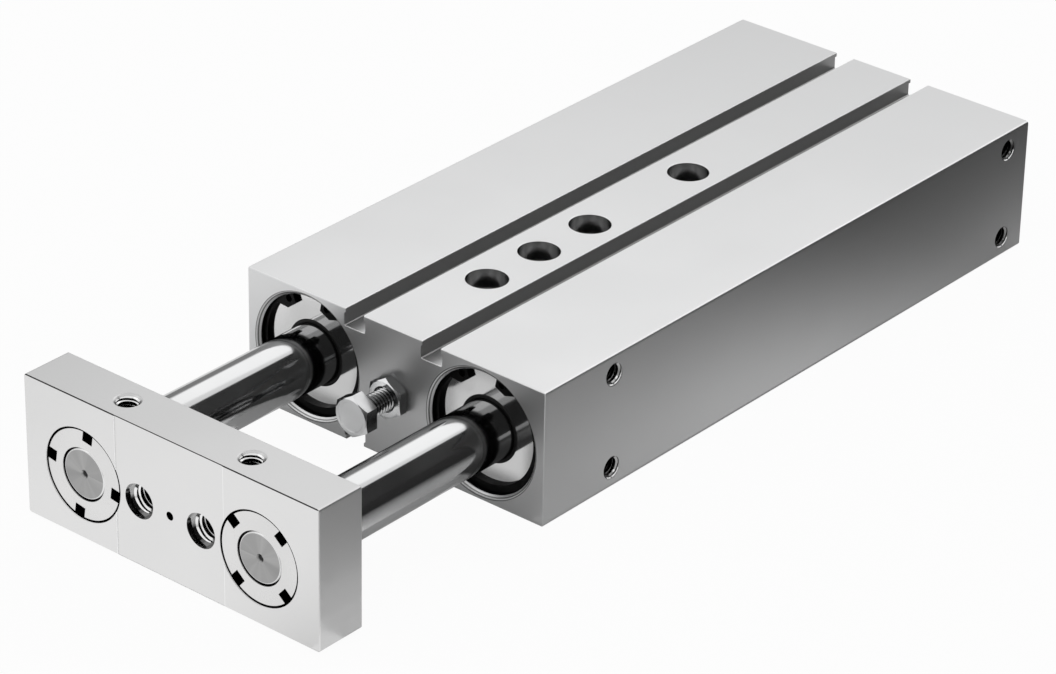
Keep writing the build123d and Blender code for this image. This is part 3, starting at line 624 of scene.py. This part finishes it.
half = (housing_high - housing_low) / 2
block = {"Centre": (housing_high + housing_low) / 2, "Half_Size": half}
housing_finish, tree, shader = grained(
    "satin_aluminium",
    colour(0.76, -0.003),
    roughness=0.38,
    stretch=(4200.0, 1100.0, 4200.0),
    scale=24.0,
    depth=0.0025 * MM,
    spread=0.05,
    shade=0.03,
    eased={**block, "Width": (0.25 * MM,) * 3},
)
three = split(tree, own_place(tree))
from_slot = apart(tree, calc(tree, "ABSOLUTE", three[0]), SLOT_CENTRE)
rise = apart(tree, three[2], AXIS_Z)
on_mouth = smooth_step(tree, apart(tree, from_slot, SLOT_HALF), SLOT_EDGE_WIDTH, 0.0)
slot_edges = product(tree, on_mouth, short_of(tree, rise, half.z, start=0.4, full=0.05))
block_edges = place_group(tree, edge_wear_and_highlight, **block, Width=0.35 * MM)
edges = calc(tree, "MAXIMUM", block_edges, slot_edges)
# The block's edges and the slot mouths are painted brighter: partly wear, partly a painted highlight.
brighten_edges(tree, shader, edges, colour(0.92), 0.25)

# %% [markdown]
# Little light reaches into slots and holes, and their walls mirror each other. A renderer needs very many
# bounces for that, so the walls are simply painted darker. Each mask is a product of tests of place.

# %% Darker walls of the slots and the counterbored holes
SLOT_FLOOR = 5.0 * MM
WEB_HALF = 5.7 * MM

from_middle = calc(tree, "ABSOLUTE", three[1])
under_skin = short_of(tree, rise, half.z, start=0.12, full=0.3)
slot_walls = product(
    tree,
    short_of(tree, from_slot, SLOT_HALF, start=0.15, full=0.02),
    short_of(tree, from_slot, SLOT_HALF, start=-0.7, full=-0.6),
    under_skin,
    short_of(tree, rise, half.z - SLOT_FLOOR, start=0.05, full=0.0),
    short_of(tree, from_middle, half.y, start=0.02, full=0.1),
)
relink_colour(tree, shader, slot_walls, colour(0.5))
web_holes = product(
    tree,
    short_of(tree, calc(tree, "ABSOLUTE", three[0]), WEB_HALF, start=0.0, full=0.05),
    under_skin,
    short_of(tree, from_middle, half.y, start=0.3, full=0.8),
)
relink_colour(tree, shader, web_holes, colour(0.72))
relink_roughness(tree, shader, web_holes, 0.18)

# %% Painted shade in the bores, and fine rings of painted shadow where the chamfer of a bore mouth begins and changes
BORE_REACH = 17.4 * MM
BORE_LIGHT = 1.1 * MM
MOUTH_SHADOW_RINGS = (17.0 * MM, 17.5 * MM)
MOUTH_SHADOW_WIDTH = 0.2 * MM

mouths = (((BORE_X, housing_low.y, AXIS_Z), BACK), ((BORE_X, housing_high.y, AXIS_Z), FORWARD))
depths = {"Radius": BORE_REACH, "Start": BORE_LIGHT, "Fade": 0.2 * MM}
bores = [place_group(tree, hole_inside, Centre=mouth, Inwards=inwards, **depths) for mouth, inwards in mouths]
relink_colour(tree, shader, calc(tree, "MINIMUM", *bores), colour(0.06))
from_bore = reach_of(tree, *from_axis(tree, three, BORE_X, AXIS_Z))
near_ends = short_of(tree, from_middle, half.y, start=1.4, full=1.2)
# Each ring is a thin line of painted shadow.
for ring in MOUTH_SHADOW_RINGS:
    line = smooth_step(tree, apart(tree, from_bore, ring), MOUTH_SHADOW_WIDTH, 0.0)
    relink_colour(tree, shader, product(tree, line, near_ends), colour(0.12))

# %% [markdown]
# The yoke is a steel plate, ground flat and plated. Grinding leaves long fine scratches along the plate.
# Its narrow faces are painted a little darker than its front, as painted shade, and its edges brighter,
# partly as wear and partly as a painted highlight.

# %% Ground steel of the yoke
half = (yoke_high - yoke_low) / 2
centre = (yoke_high + yoke_low) / 2
block = {"Centre": centre, "Half_Size": half}
yoke_finish, tree, shader = grained(
    "ground_steel",
    colour(0.67, 0.002),
    roughness=0.30,
    stretch=(260.0, 3800.0, 3800.0),
    scale=40.0,
    depth=0.0015 * MM,
    spread=0.02,
    shade=0.015,
    eased={**block, "Width": (0.3 * MM,) * 3},
)
three = split(tree, own_place(tree))
# The narrow faces are painted darker than the front, as painted shade.
narrow_faces_shade = short_of(tree, apart(tree, three[1], centre.y), half.y, start=0.2, full=0.4)
relink_colour(tree, shader, narrow_faces_shade, colour(0.56))
# The edges are painted brighter: partly wear, partly a painted highlight.
brighten_edges(tree, shader, place_group(tree, edge_wear_and_highlight, **block, Width=0.4 * MM), colour(0.85), 0.2)

# %% Painted light on the yoke: a painted highlight at the step of its relief and a painted dark reflection on its top front edge
RELIEF_HALF = 17.5 * MM
STEP_HIGHLIGHT_WIDTH = 0.15 * MM

from_step = apart(tree, calc(tree, "ABSOLUTE", three[0]), RELIEF_HALF)
in_front = short_of(tree, three[1], yoke_low.y, start=-0.4, full=-0.2)
step_highlight = product(tree, smooth_step(tree, from_step, STEP_HIGHLIGHT_WIDTH, 0.0), in_front)
# A thin painted highlight along the step.
relink_colour(tree, shader, step_highlight, colour(0.95))
# A painted dark reflection: a thin line along the top front edge is painted near black.
near_front = short_of(tree, three[1], yoke_low.y, start=-0.28, full=-0.2)
near_top = short_of(tree, three[2], yoke_high.z, start=0.28, full=0.2)
relink_colour(tree, shader, product(tree, near_front, near_top), colour(0.03))

# %% Insides of the yoke's holes, as far back as the floor of the nuts' rooms, some with painted shade
NUT_ROOM_REACH = 12.5 * MM
NUT_ROOM_FLOOR = 7.5 * MM
RECESS_REACH = 4.7 * MM
PIN_REACH = 1.2 * MM
FRONT_HOLE_X = 10.0 * MM

near_nuts = short_of(tree, three[1], yoke_low.y + NUT_ROOM_FLOOR, start=0.0, full=0.2)


def inside_yoke(x, radius, start):
    """The inside of a round hole in the front of the yoke, from start below the face."""
    values = {"Centre": (x, yoke_low.y, AXIS_Z), "Radius": radius, "Start": start, "Fade": 0.1 * MM}
    return product(tree, place_group(tree, hole_inside, **values), near_nuts)


relink_roughness(tree, shader, inside_yoke(FRONT_HOLE_X, RECESS_REACH, 0.2 * MM), 0.1)
# The nuts' rooms, with the gap round each ring nut, and the pin hole are painted near black as painted shade.
for hole_x, reach in ((BORE_X, NUT_ROOM_REACH), (0.0, PIN_REACH)):
    relink_colour(tree, shader, inside_yoke(hole_x, reach, 0.25 * MM), colour(0.02))

# %% [markdown]
# Glands, caps and ring nuts come off a lathe. The tool leaves rings that are finer than the eye can count
# but that pull the shine into a fan about the middle.


# %% Turned metals
def turned_metal(name, base, roughness, pitch, depth, spread=0.08):
    """A metal with lathe rings about the bore axes."""
    material, tree, shader = new_finish(name)
    rings = place_group(tree, turning, Centre_X=BORE_X, Centre_Z=AXIS_Z, Pitch=pitch)
    marks = place_group(tree, handling, Scale=60.0)
    finish_surface(tree, shader, base, roughness, marks, rings, depth, spread, shade=0.05)
    return material, tree, shader


COARSE = {"pitch": 0.3 * MM, "depth": 0.002 * MM}
gland_finish = turned_metal(
    "turned_aluminium", colour(0.90), 0.10, pitch=0.22 * MM, depth=0.0003 * MM, spread=0.04
)[0]
piston_finish = turned_metal("piston_aluminium", colour(0.72), 0.30, **COARSE)[0]
bronze_finish = turned_metal("bush_bronze", (0.66, 0.45, 0.24, 1), 0.35, **COARSE)[0]
brass_finish = turned_metal("plug_brass", (0.80, 0.63, 0.33, 1), 0.30, **COARSE)[0]
ring_nut_finish, tree, shader = turned_metal(
    "turned_steel", colour(0.66, 0.004), 0.28, pitch=0.25 * MM, depth=0.001 * MM
)
# The slots of the ring nuts, below their face, are painted near black as painted shade.
nut_mouth = {"Centre": (BORE_X, yoke_low.y, AXIS_Z), "Radius": NUT_ROOM_REACH}
nut_slot_shade = place_group(tree, hole_inside, **nut_mouth, Start=0.5 * MM, Fade=0.1 * MM)
relink_colour(tree, shader, nut_slot_shade, colour(0.015))

# %% [markdown]
# The rods are hard chromed and polished, so they mirror the studio. Only the front ends, inside the ring
# nuts, are bare turned steel: duller and darker. One finish covers both, split by how far forward a point is.
# On the bare end face a painted glint fans out round the middle, the chamfer gets a painted highlight, and
# the drilled centre painted shade.

# %% Polished chrome with a bare turned end
ROD_FACE_RADIUS = 6.3 * MM
CENTRE_SHADE_RADIUS = 1.0 * MM
rod_low, rod_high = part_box("right_piston_rod")

rod_finish, tree, shader = grained(
    "polished_chrome",
    colour(0.62, -0.004),
    roughness=0.10,
    stretch=(900.0, 2200.0, 900.0),
    scale=55.0,
    depth=0.0001 * MM,
    spread=0.03,
    shade=0.04,
)
three = split(tree, own_place(tree))
bare = short_of(tree, three[1], rod_low.y, start=-1.2, full=-0.96)
across, upwards = from_axis(tree, three, BORE_X, AXIS_Z)
# A painted glint: lighter and darker wedges fan out round the middle of the bare end face.
glint_turn = {"W": calc(tree, "ARCTAN2", upwards, across), "Scale": 1.1, "Detail": 2.0}
painted_glint = add_node(tree, "ShaderNodeTexNoise", glint_turn, noise_dimensions="1D").outputs[0]
relink_colour(tree, shader, bare, mix_colours(tree, painted_glint, colour(0.20), colour(0.42, 0.006)))
relink_roughness(tree, shader, bare, 0.32)
end_circles = {"Centre": (BORE_X, rod_low.y, AXIS_Z), "Start": -1.0 * MM, "Fade": 0.1 * MM}
face = place_group(tree, hole_inside, Radius=ROD_FACE_RADIUS, Rim=0.1 * MM, **end_circles)
# The chamfer round the end face gets a painted highlight.
chamfer_highlight = product(tree, bare, calc(tree, "SUBTRACT", 1.0, face))
brighten_edges(tree, shader, chamfer_highlight, colour(0.7), 0.15)
# The drilled centre is painted near black, as painted shade.
centre_shade = place_group(tree, hole_inside, Radius=CENTRE_SHADE_RADIUS, Rim=0.3 * MM, **end_circles)
relink_colour(tree, shader, product(tree, centre_shade, bare), colour(0.03))

# %% [markdown]
# The screw and its nut are zinc plated. Zinc is bright but slightly cloudy, with a soft bluish cast. The
# grooves of the screw's thread are painted darker, for the same reason as the slots.

# %% Zinc plated steel
zinc_finish, tree, shader = grained(
    "zinc_plated_steel",
    colour(0.80, -0.006),
    roughness=0.16,
    stretch=(1500.0,) * 3,
    scale=160.0,
    depth=0.003 * MM,
    spread=0.1,
    shade=0.08,
)
thread_core = {"Centre": (0.0, screw_low.y, AXIS_Z), "Radius": 2.85 * MM, "Rim": 0.4 * MM}
groove = place_group(tree, hole_inside, **thread_core, Start=4.1 * MM, Fade=0.2 * MM)
relink_colour(tree, shader, groove, colour(0.2))

# %% [markdown]
# Circlips are spring steel, blackened in an oil bath. The oil fills the surface and leaves a dull sheen.
# Rubber has no metal shine at all: a black body with a soft broad gloss and fine moulded texture.

# %% Black spring steel, rubber and magnet compound
circlip_finish = grained(
    "blackened_spring_steel",
    colour(0.012),
    roughness=0.34,
    stretch=(2600.0,) * 3,
    scale=220.0,
    depth=0.004 * MM,
    spread=0.12,
    shade=0.3,
)[0]
rubber_finish, tree, shader = grained(
    "seal_rubber",
    colour(0.008),
    roughness=0.5,
    stretch=(4000.0,) * 3,
    scale=200.0,
    depth=0.008 * MM,
    spread=0.14,
    shade=0.25,
    metallic=0.0,
)
shader.inputs["Specular IOR Level"].default_value = 0.2
magnet_finish = grained(
    "magnet_compound",
    colour(0.05),
    roughness=0.55,
    stretch=(2200.0,) * 3,
    scale=180.0,
    depth=0.01 * MM,
    spread=0.1,
    shade=0.2,
    metallic=0.0,
)[0]

# %% [markdown]
# The pieces of the frame come with plain stand-ins, whose names say what each piece is made of. Here each
# stand-in is exchanged for the finish of that metal or rubber.

# %% Each finish on the pieces that have it
finish_of_slot = {
    "housing_aluminium": housing_finish,
    "bright_aluminium": gland_finish,
    "piston_aluminium": piston_finish,
    "yoke_steel": yoke_finish,
    "nut_steel": ring_nut_finish,
    "chromed_steel": rod_finish,
    "zinc_steel": zinc_finish,
    "black_spring_steel": circlip_finish,
    "seal_rubber": rubber_finish,
    "bronze": bronze_finish,
    "magnet_compound": magnet_finish,
    "brass": brass_finish,
}
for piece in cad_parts.values():
    for place_in_piece in piece.material_slots:
        slot_name = place_in_piece.material.name.split(".")[0]
        place_in_piece.material = finish_of_slot[slot_name]
print("slots with a finish:", sorted(finish_of_slot))

# %% [markdown]
# ## Surfaces from numbers
#
# Turned and threaded pieces are round about an axis, so every point on them is given by three numbers: how
# far along the axis, how far out from it, and the angle. They could be made by the Spin tool or by a Screw
# modifier. A grid of numbers is more exact, and one helper then serves rods, nuts, screws and threads.

# %% A grid of points round any axis
COLUMNS = 96  # steps in one turn, a multiple of 6 so that a hexagon's corners fall on the grid
turn = np.linspace(0, 2 * np.pi, COLUMNS + 1)


def rows_of(outline):
    """Splits an outline of (along, radius) pairs in two, with a row for each ring. Either number may be an
    array that changes with the turn."""
    return [np.array([np.broadcast_to(value, turn.shape) for value in row]) for row in zip(*outline)]


def round_points(centre, axis, along, radius):
    """Point = centre + axis * along + (side * cos(turn) + other side * sin(turn)) * radius.

    along and radius have a row for each ring and a column for each step of the turn. The two sides and
    the axis are right-handed, so a thread that climbs with the turn is a right-hand one. Where the axis
    lies flat, the first side is straight up."""
    axis = np.array(axis, float)
    side = np.array((0, 0, 1.0)) if abs(axis[2]) < 0.5 else np.array((1.0, 0, 0))
    other = np.cross(axis, side)
    spoke = np.cos(turn)[:, None] * side + np.sin(turn)[:, None] * other
    return np.array(centre) + along[..., None] * axis + radius[..., None] * spoke


# %% From the grid to a finished piece
WELD = 1e-7
SHARP_DEGREES = 30


def grid_piece(name, points):
    """Joins each point of the grid to its neighbours with four-sided faces, then welds the seam and the
    poles and turns every face outwards."""
    mesh = bpy.data.meshes.new(name)
    mesh.from_pydata(points.reshape(-1, 3).tolist(), [], grid_faces(*points.shape[:2]).tolist())
    work = bmesh.new()
    work.from_mesh(mesh)
    bmesh.ops.remove_doubles(work, verts=work.verts, dist=WELD)
    bmesh.ops.dissolve_degenerate(work, edges=work.edges, dist=WELD)
    bmesh.ops.recalc_face_normals(work, faces=work.faces)
    work.to_mesh(mesh)
    work.free()
    mesh.shade_smooth()
    mesh.set_sharp_from_angle(angle=np.radians(SHARP_DEGREES))
    piece = bpy.data.objects.new(name, mesh)
    bpy.context.scene.collection.objects.link(piece)
    return piece


def fit_piece(piece, body, slot, stands_for=(), finish=None):
    """Gives a finished piece its finish, by default that of its slot, and a moving body to ride on, and hides
    the pieces that it stands for."""
    piece.data.materials.append(finish or finish_of_slot[slot])
    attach(piece, body)
    if stands_for:
        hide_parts(*stands_for)
    print(piece.name, "has", len(piece.data.polygons), "faces")


# %% [markdown]
# A real turned edge is never quite sharp. The lathe leaves a tiny round, and that round is what catches the
# light. So each corner of an outline is replaced by a short arc before it is carried round the axis.

# %% Softened corners
ARC_STEPS = 4
CUT_SHARE = 0.4  # of the distance to the next corner, at most


def soften(corners, reach):
    """Each inner corner becomes a curve from reach before it to reach after it:
    point = (1 - t)^2 * start + 2 t (1 - t) * corner + t^2 * end. Near a neighbour, reach shrinks."""
    corners = np.array(corners, float)
    before = corners[:-2] - corners[1:-1]
    after = corners[2:] - corners[1:-1]
    length_before = np.linalg.norm(before, axis=1, keepdims=True)
    length_after = np.linalg.norm(after, axis=1, keepdims=True)
    cut = np.minimum(reach, CUT_SHARE * np.minimum(length_before, length_after))
    start = (corners[1:-1] + before / length_before * cut)[:, None]
    end = (corners[1:-1] + after / length_after * cut)[:, None]
    t = np.linspace(0, 1, ARC_STEPS + 1)[None, :, None]
    arcs = (1 - t) ** 2 * start + 2 * t * (1 - t) * corners[1:-1, None] + t**2 * end
    return np.concatenate([corners[:1], arcs.reshape(-1, 2), corners[-1:]])


# %% [markdown]
# ## The piston rods
#
# A rod is one turned outline: the drilled centre, the threaded spigot that goes through the yoke, the
# polished shaft, and the thin tail that holds the piston. The outline is drawn as (along, radius) from the
# front centre to the rear centre, softened, and carried round.

# %% Rods with rounded shoulders
SPIGOT_RADIUS = 7.0 * MM
TAIL_RADIUS = 5.0 * MM
ROD_SEAT = 3.0 * MM
END_CHAMFER = 0.6 * MM
DRILL_RADIUS = 1.1 * MM
DRILL_DEPTH = 1.6 * MM
ROD_EDGE = 0.12 * MM
STRAIGHT_RING = 0.5 * MM  # a ring this far from each shoulder keeps its softness off the long shaft

rod_radius = (rod_high.x - rod_low.x) / 2
shaft_start = yoke_high.y - ROD_SEAT - rod_low.y
shaft_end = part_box("right_piston")[0].y - rod_low.y
rod_length = rod_high.y - rod_low.y
rod_outline = soften(
    [
        (DRILL_DEPTH, 0),
        (0, DRILL_RADIUS),
        (0, SPIGOT_RADIUS - END_CHAMFER),
        (END_CHAMFER, SPIGOT_RADIUS),
        (shaft_start, SPIGOT_RADIUS),
        (shaft_start, rod_radius),
        (shaft_start + STRAIGHT_RING, rod_radius),
        (shaft_end - STRAIGHT_RING, rod_radius),
        (shaft_end, rod_radius),
        (shaft_end, TAIL_RADIUS),
        (rod_length, TAIL_RADIUS),
        (rod_length, 0),
    ],
    ROD_EDGE,
)
for side, x in SIDES.items():
    rod = grid_piece(side + "_rod", round_points((x, rod_low.y, AXIS_Z), BACK, *rows_of(rod_outline)))
    fit_piece(rod, "yoke", "chromed_steel", [side + "_piston_rod"])

# %% [markdown]
# ## The rod wipers
#
# A black rubber ring stands out of each gland and keeps dirt off the rod. Its lip leans towards the rod
# and is rounded. The outline is a closed loop, so its last corner is its first one again.

# %% Wiper rings with a rounded lip
WIPER_BORE = 8.05 * MM
WIPER_LIP = 9.0 * MM
WIPER_NECK = 1.4 * MM
WIPER_SLOPE = (0.2 * MM, 0.25 * MM)  # the lip's bevel: along, outwards
WIPER_EDGE = 0.15 * MM

wiper_low, wiper_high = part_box("right_rod_wiper")
wiper_length = wiper_high.y - wiper_low.y
wiper_radius = (wiper_high.x - wiper_low.x) / 2
wiper_outline = soften(
    [
        (wiper_length / 2, WIPER_BORE),
        (0, WIPER_BORE),
        (0, WIPER_LIP - WIPER_SLOPE[1]),
        (WIPER_SLOPE[0], WIPER_LIP),
        (WIPER_NECK, WIPER_LIP),
        (WIPER_NECK, wiper_radius),
        (wiper_length, wiper_radius),
        (wiper_length, WIPER_BORE),
        (wiper_length / 2, WIPER_BORE),
    ],
    WIPER_EDGE,
)
for side, x in SIDES.items():
    points = round_points((x, wiper_low.y, AXIS_Z), BACK, *rows_of(wiper_outline))
    fit_piece(grid_piece(side + "_wiper_ring", points), "housing", "seal_rubber", [side + "_rod_wiper"])

# %% [markdown]
# ## Threads
#
# A thread is a ridge that climbs one pitch in each turn. It could be made by a Screw modifier, but its ends
# are hard to close. Here the rows of the grid climb with the ridge, so its crest is a clean line, and both
# ends are cut off flat by holding the rows between two limits.

# %% A ridge that climbs with the turn
THREAD_STEPS = 16  # rows in one pitch, so that crest and groove edges fall on the grid


def ridge_height(phase):
    """0 in the groove and 1 on the crest, with straight flanks:
    height = (3/8 - distance from the middle of the crest) / (5/16), held between 0 and 1."""
    return np.clip((3 / 8 - np.abs(phase % 1 - 0.5)) / (5 / 16), 0, 1)


def climbing_rows(length, pitch):
    """along = pitch * (row / rows per pitch + turn share), held between 0 and length. Returns it with the
    height of the ridge there, which depends on along / pitch - turn share."""
    share = turn / (2 * np.pi)
    rows = np.arange(-THREAD_STEPS, int(np.ceil(length / pitch)) * THREAD_STEPS + 1) / THREAD_STEPS
    along = np.clip((rows[:, None] + share) * pitch, 0, length)
    return along, ridge_height(along / pitch - share)


# %% [markdown]
# ## The stop screw and its lock nut
#
# The yoke strikes the screw's head when the rods are in, so its place sets the stroke. The nut locks it.
# Both are hexagons with their corners turned off by a cone, which gives the curved edge that every screw
# head has. A hexagon is just a radius that changes with the turn: half the flats / cos(angle from a flat).

# %% The hexagon as a radius
FLATS_HALF = 5.0 * MM
FACE_SHARE = 0.95
CONE_RISE = np.tan(np.radians(30))

from_flat = (turn % (np.pi / 3)) - np.pi / 6
hexagon = FLATS_HALF / np.cos(from_flat)
face_radius = FACE_SHARE * FLATS_HALF
cone_depth = (hexagon - face_radius) * CONE_RISE
print("across corners in mm:", round(2 * hexagon.max() / MM, 2))

# %% The stop screw, threaded up to its head
SCREW_RADIUS = 2.95 * MM
SCREW_PITCH = 1.0 * MM
GROOVE_DEPTH = 0.61 * SCREW_PITCH
HEAD_HEIGHT = 4.0 * MM
DISH_RADIUS = 3.9 * MM
DISH_DEPTH = 0.06 * MM
TIP_CHAMFER = 0.6 * MM
NECK_LENGTH = 0.5 * MM

screw_length = screw_high.y - screw_low.y
groove_radius = SCREW_RADIUS - GROOVE_DEPTH
thread_start = HEAD_HEIGHT + NECK_LENGTH
thread_length = screw_length - thread_start
climb, height = climbing_rows(thread_length, SCREW_PITCH)
ridge = groove_radius + (SCREW_RADIUS - groove_radius) * height
ridge = np.minimum(ridge, SCREW_RADIUS - TIP_CHAMFER + (thread_length - climb))
head = [
    (DISH_DEPTH, 0),
    (DISH_DEPTH, DISH_RADIUS - DISH_DEPTH),
    (0, DISH_RADIUS),
    (0, face_radius),
    (cone_depth, hexagon),
    (HEAD_HEIGHT, hexagon),
    (HEAD_HEIGHT, groove_radius),
    (thread_start, groove_radius),
]
shank = list(zip(climb + thread_start, ridge))
along, radius = rows_of(head + shank + [(screw_length, 0)])
screw = grid_piece("threaded_stop_screw", round_points((0, screw_low.y, AXIS_Z), BACK, along, radius))
fit_piece(screw, "stop_screw", "zinc_steel", ["stop_screw"])

# %% The lock nut, with a cone at both faces
NUT_BORE = 3.06 * MM
NUT_COUNTERSINK = 0.45 * MM

nut_height = nut_high.y - nut_low.y
mouth_radius = NUT_BORE + NUT_COUNTERSINK
nut_outline = [
    (NUT_COUNTERSINK, NUT_BORE),
    (0, mouth_radius),
    (0, face_radius),
    (cone_depth, hexagon),
    (nut_height - cone_depth, hexagon),
    (nut_height, face_radius),
    (nut_height, mouth_radius),
    (nut_height - NUT_COUNTERSINK, NUT_BORE),
    (NUT_COUNTERSINK, NUT_BORE),
]
points = round_points((0, nut_low.y, AXIS_Z), BACK, *rows_of(nut_outline))
fit_piece(grid_piece("softened_lock_nut", points), "lock_nut", "zinc_steel", ["stop_lock_nut"])

# %% [markdown]
# ## Threaded holes
#
# The machined holes are plain, at the thread's outer size. A thin lining goes into each: on the inside the
# thread with its countersunk mouth, on the outside a plain wall against the hole. A blind hole also gets
# the pointed bottom that a twist drill leaves.

# %% Finish of a cut thread, with painted shade that deepens with depth
def thread_finish(name, base, roughness, dark_from, dark_to):
    """A bright cut metal, painted darker deeper in the hole as painted shade. The lining carries its own
    depth below the mouth, in metres, point by point.
    """
    material, tree, shader = grained(
        name, base, roughness, stretch=(2500.0,) * 3, scale=150.0, depth=0.001 * MM, spread=0.04, shade=0.05
    )
    depth = add_node(tree, "ShaderNodeAttribute", attribute_name="depth").outputs["Fac"]
    relink_colour(tree, shader, smooth_step(tree, depth, dark_from, dark_to), colour(0.05))
    return material


CUT_METAL = colour(0.8)
yoke_thread_finish = thread_finish("cut_steel_thread", CUT_METAL, 0.12, dark_from=1.2 * MM, dark_to=4.5 * MM)
housing_thread_finish = thread_finish(
    "cut_aluminium_thread", CUT_METAL, 0.15, dark_from=0.8 * MM, dark_to=2.8 * MM
)

# %% A threaded lining for one hole
LINING_GAP = 0.05 * MM
DRILL_POINT = 1 / np.tan(np.radians(59))  # depth of a drill's point, as a share of its radius
BOTTOM_WALL = 0.05 * MM
THREAD_SHARE = 0.54  # how deep a thread is, as a share of its pitch


def threaded_lining(name, mouth, inwards, hole_radius, depth, pitch, blind):
    """Inside, radius = outer size - thread depth * height of the ridge, and never less than the cone
    outer size - along, which is the countersink. A through hole has that cone at both ends."""
    wall = hole_radius - LINING_GAP
    tap_radius = wall - THREAD_SHARE * pitch
    point_depth = tap_radius * DRILL_POINT if blind else 0.0
    length = depth - point_depth - BOTTOM_WALL
    climb, height = climbing_rows(length, pitch)
    ridge = wall - (wall - tap_radius) * height
    ridge = np.maximum(ridge, wall - climb)
    if blind:
        outside = [(depth, 0), (depth, wall), (0, wall)]
        end = [(length, tap_radius), (length + point_depth, 0)]
    else:
        ridge = np.maximum(ridge, wall - (length - climb))
        outside = [(length, wall), (0, wall)]
        end = [(length, wall)]
    along, radius = rows_of(outside + list(zip(climb, ridge)) + end)
    lining = grid_piece(name, round_points(mouth, inwards, along, radius))
    spots = np.empty(3 * len(lining.data.vertices))
    lining.data.vertices.foreach_get("co", spots)
    depths = (spots.reshape(-1, 3) - np.array(mouth)) @ np.array(inwards, float)
    lining.data.attributes.new("depth", "FLOAT", "POINT").data.foreach_set("value", depths)
    return lining


# %% Threads in the yoke: two through the front, two blind in the top
YOKE_RELIEF = 0.15 * MM
RECESS_DEPTH = 2.3 * MM
FRONT_SIZE = {"hole_radius": 4.0 * MM, "pitch": 1.25 * MM, "blind": False}
TOP_SIZE = {"hole_radius": 3.0 * MM, "pitch": 1.0 * MM, "blind": True}
TOP_HOLE_X = 20.0 * MM
TOP_MOUTH = 0.55 * MM
TOP_HOLE_DEPTH = 9.5 * MM

thread_start = yoke_low.y + YOKE_RELIEF + RECESS_DEPTH
front_depth = yoke_high.y - thread_start
top_depth = TOP_HOLE_DEPTH - TOP_MOUTH
for side, sign in (("left", -1), ("right", 1)):
    mouth = (sign * FRONT_HOLE_X, thread_start, AXIS_Z)
    front_thread = threaded_lining("yoke_front_thread_" + side, mouth, BACK, depth=front_depth, **FRONT_SIZE)
    fit_piece(front_thread, "yoke", "yoke_steel", finish=yoke_thread_finish)
    mouth = (sign * TOP_HOLE_X, (yoke_low.y + yoke_high.y) / 2, yoke_high.z - TOP_MOUTH)
    top_thread = threaded_lining("yoke_top_thread_" + side, mouth, DOWN, depth=top_depth, **TOP_SIZE)
    fit_piece(top_thread, "yoke", "yoke_steel", finish=yoke_thread_finish)

# %% Threads in the housing: four in each narrow side, two ports at the rear
SIDE_MOUTH = 0.2 * MM
SIDE_HOLE_DEPTH = 5.9 * MM
SIDE_HOLE_RISE = 13.0 * MM
SIDE_HOLE_FRONT = 26.0 * MM
SIDE_HOLE_REAR = 9.0 * MM
SIDE_SIZE = {"hole_radius": 3.0 * MM, "pitch": 1.0 * MM, "blind": True}
PORT_RISE = 9.0 * MM
PORT_MOUTH = 0.5 * MM
PORT_DEPTH = 8.0 * MM
PORT_SIZE = {"hole_radius": 4.865 * MM, "pitch": 0.907 * MM, "blind": False}

side_depth = SIDE_HOLE_DEPTH - SIDE_MOUTH
port_depth = PORT_DEPTH - PORT_MOUTH
for side, sign in (("left", -1), ("right", 1)):
    for row, y in (("front", housing_low.y + SIDE_HOLE_FRONT), ("rear", housing_high.y - SIDE_HOLE_REAR)):
        for level, rise in (("upper", SIDE_HOLE_RISE), ("lower", -SIDE_HOLE_RISE)):
            mouth = (sign * (housing_high.x - SIDE_MOUTH), y, AXIS_Z + rise)
            name = "_".join((side, row, level, "thread"))
            side_thread = threaded_lining(name, mouth, (-sign, 0, 0), depth=side_depth, **SIDE_SIZE)
            fit_piece(side_thread, "housing", "housing_aluminium", finish=housing_thread_finish)
for level, rise in (("upper", PORT_RISE), ("lower", -PORT_RISE)):
    mouth = (0, housing_high.y - PORT_MOUTH, AXIS_Z + rise)
    port_thread = threaded_lining(level + "_port_thread", mouth, FORWARD, depth=port_depth, **PORT_SIZE)
    fit_piece(port_thread, "housing", "housing_aluminium", finish=housing_thread_finish)
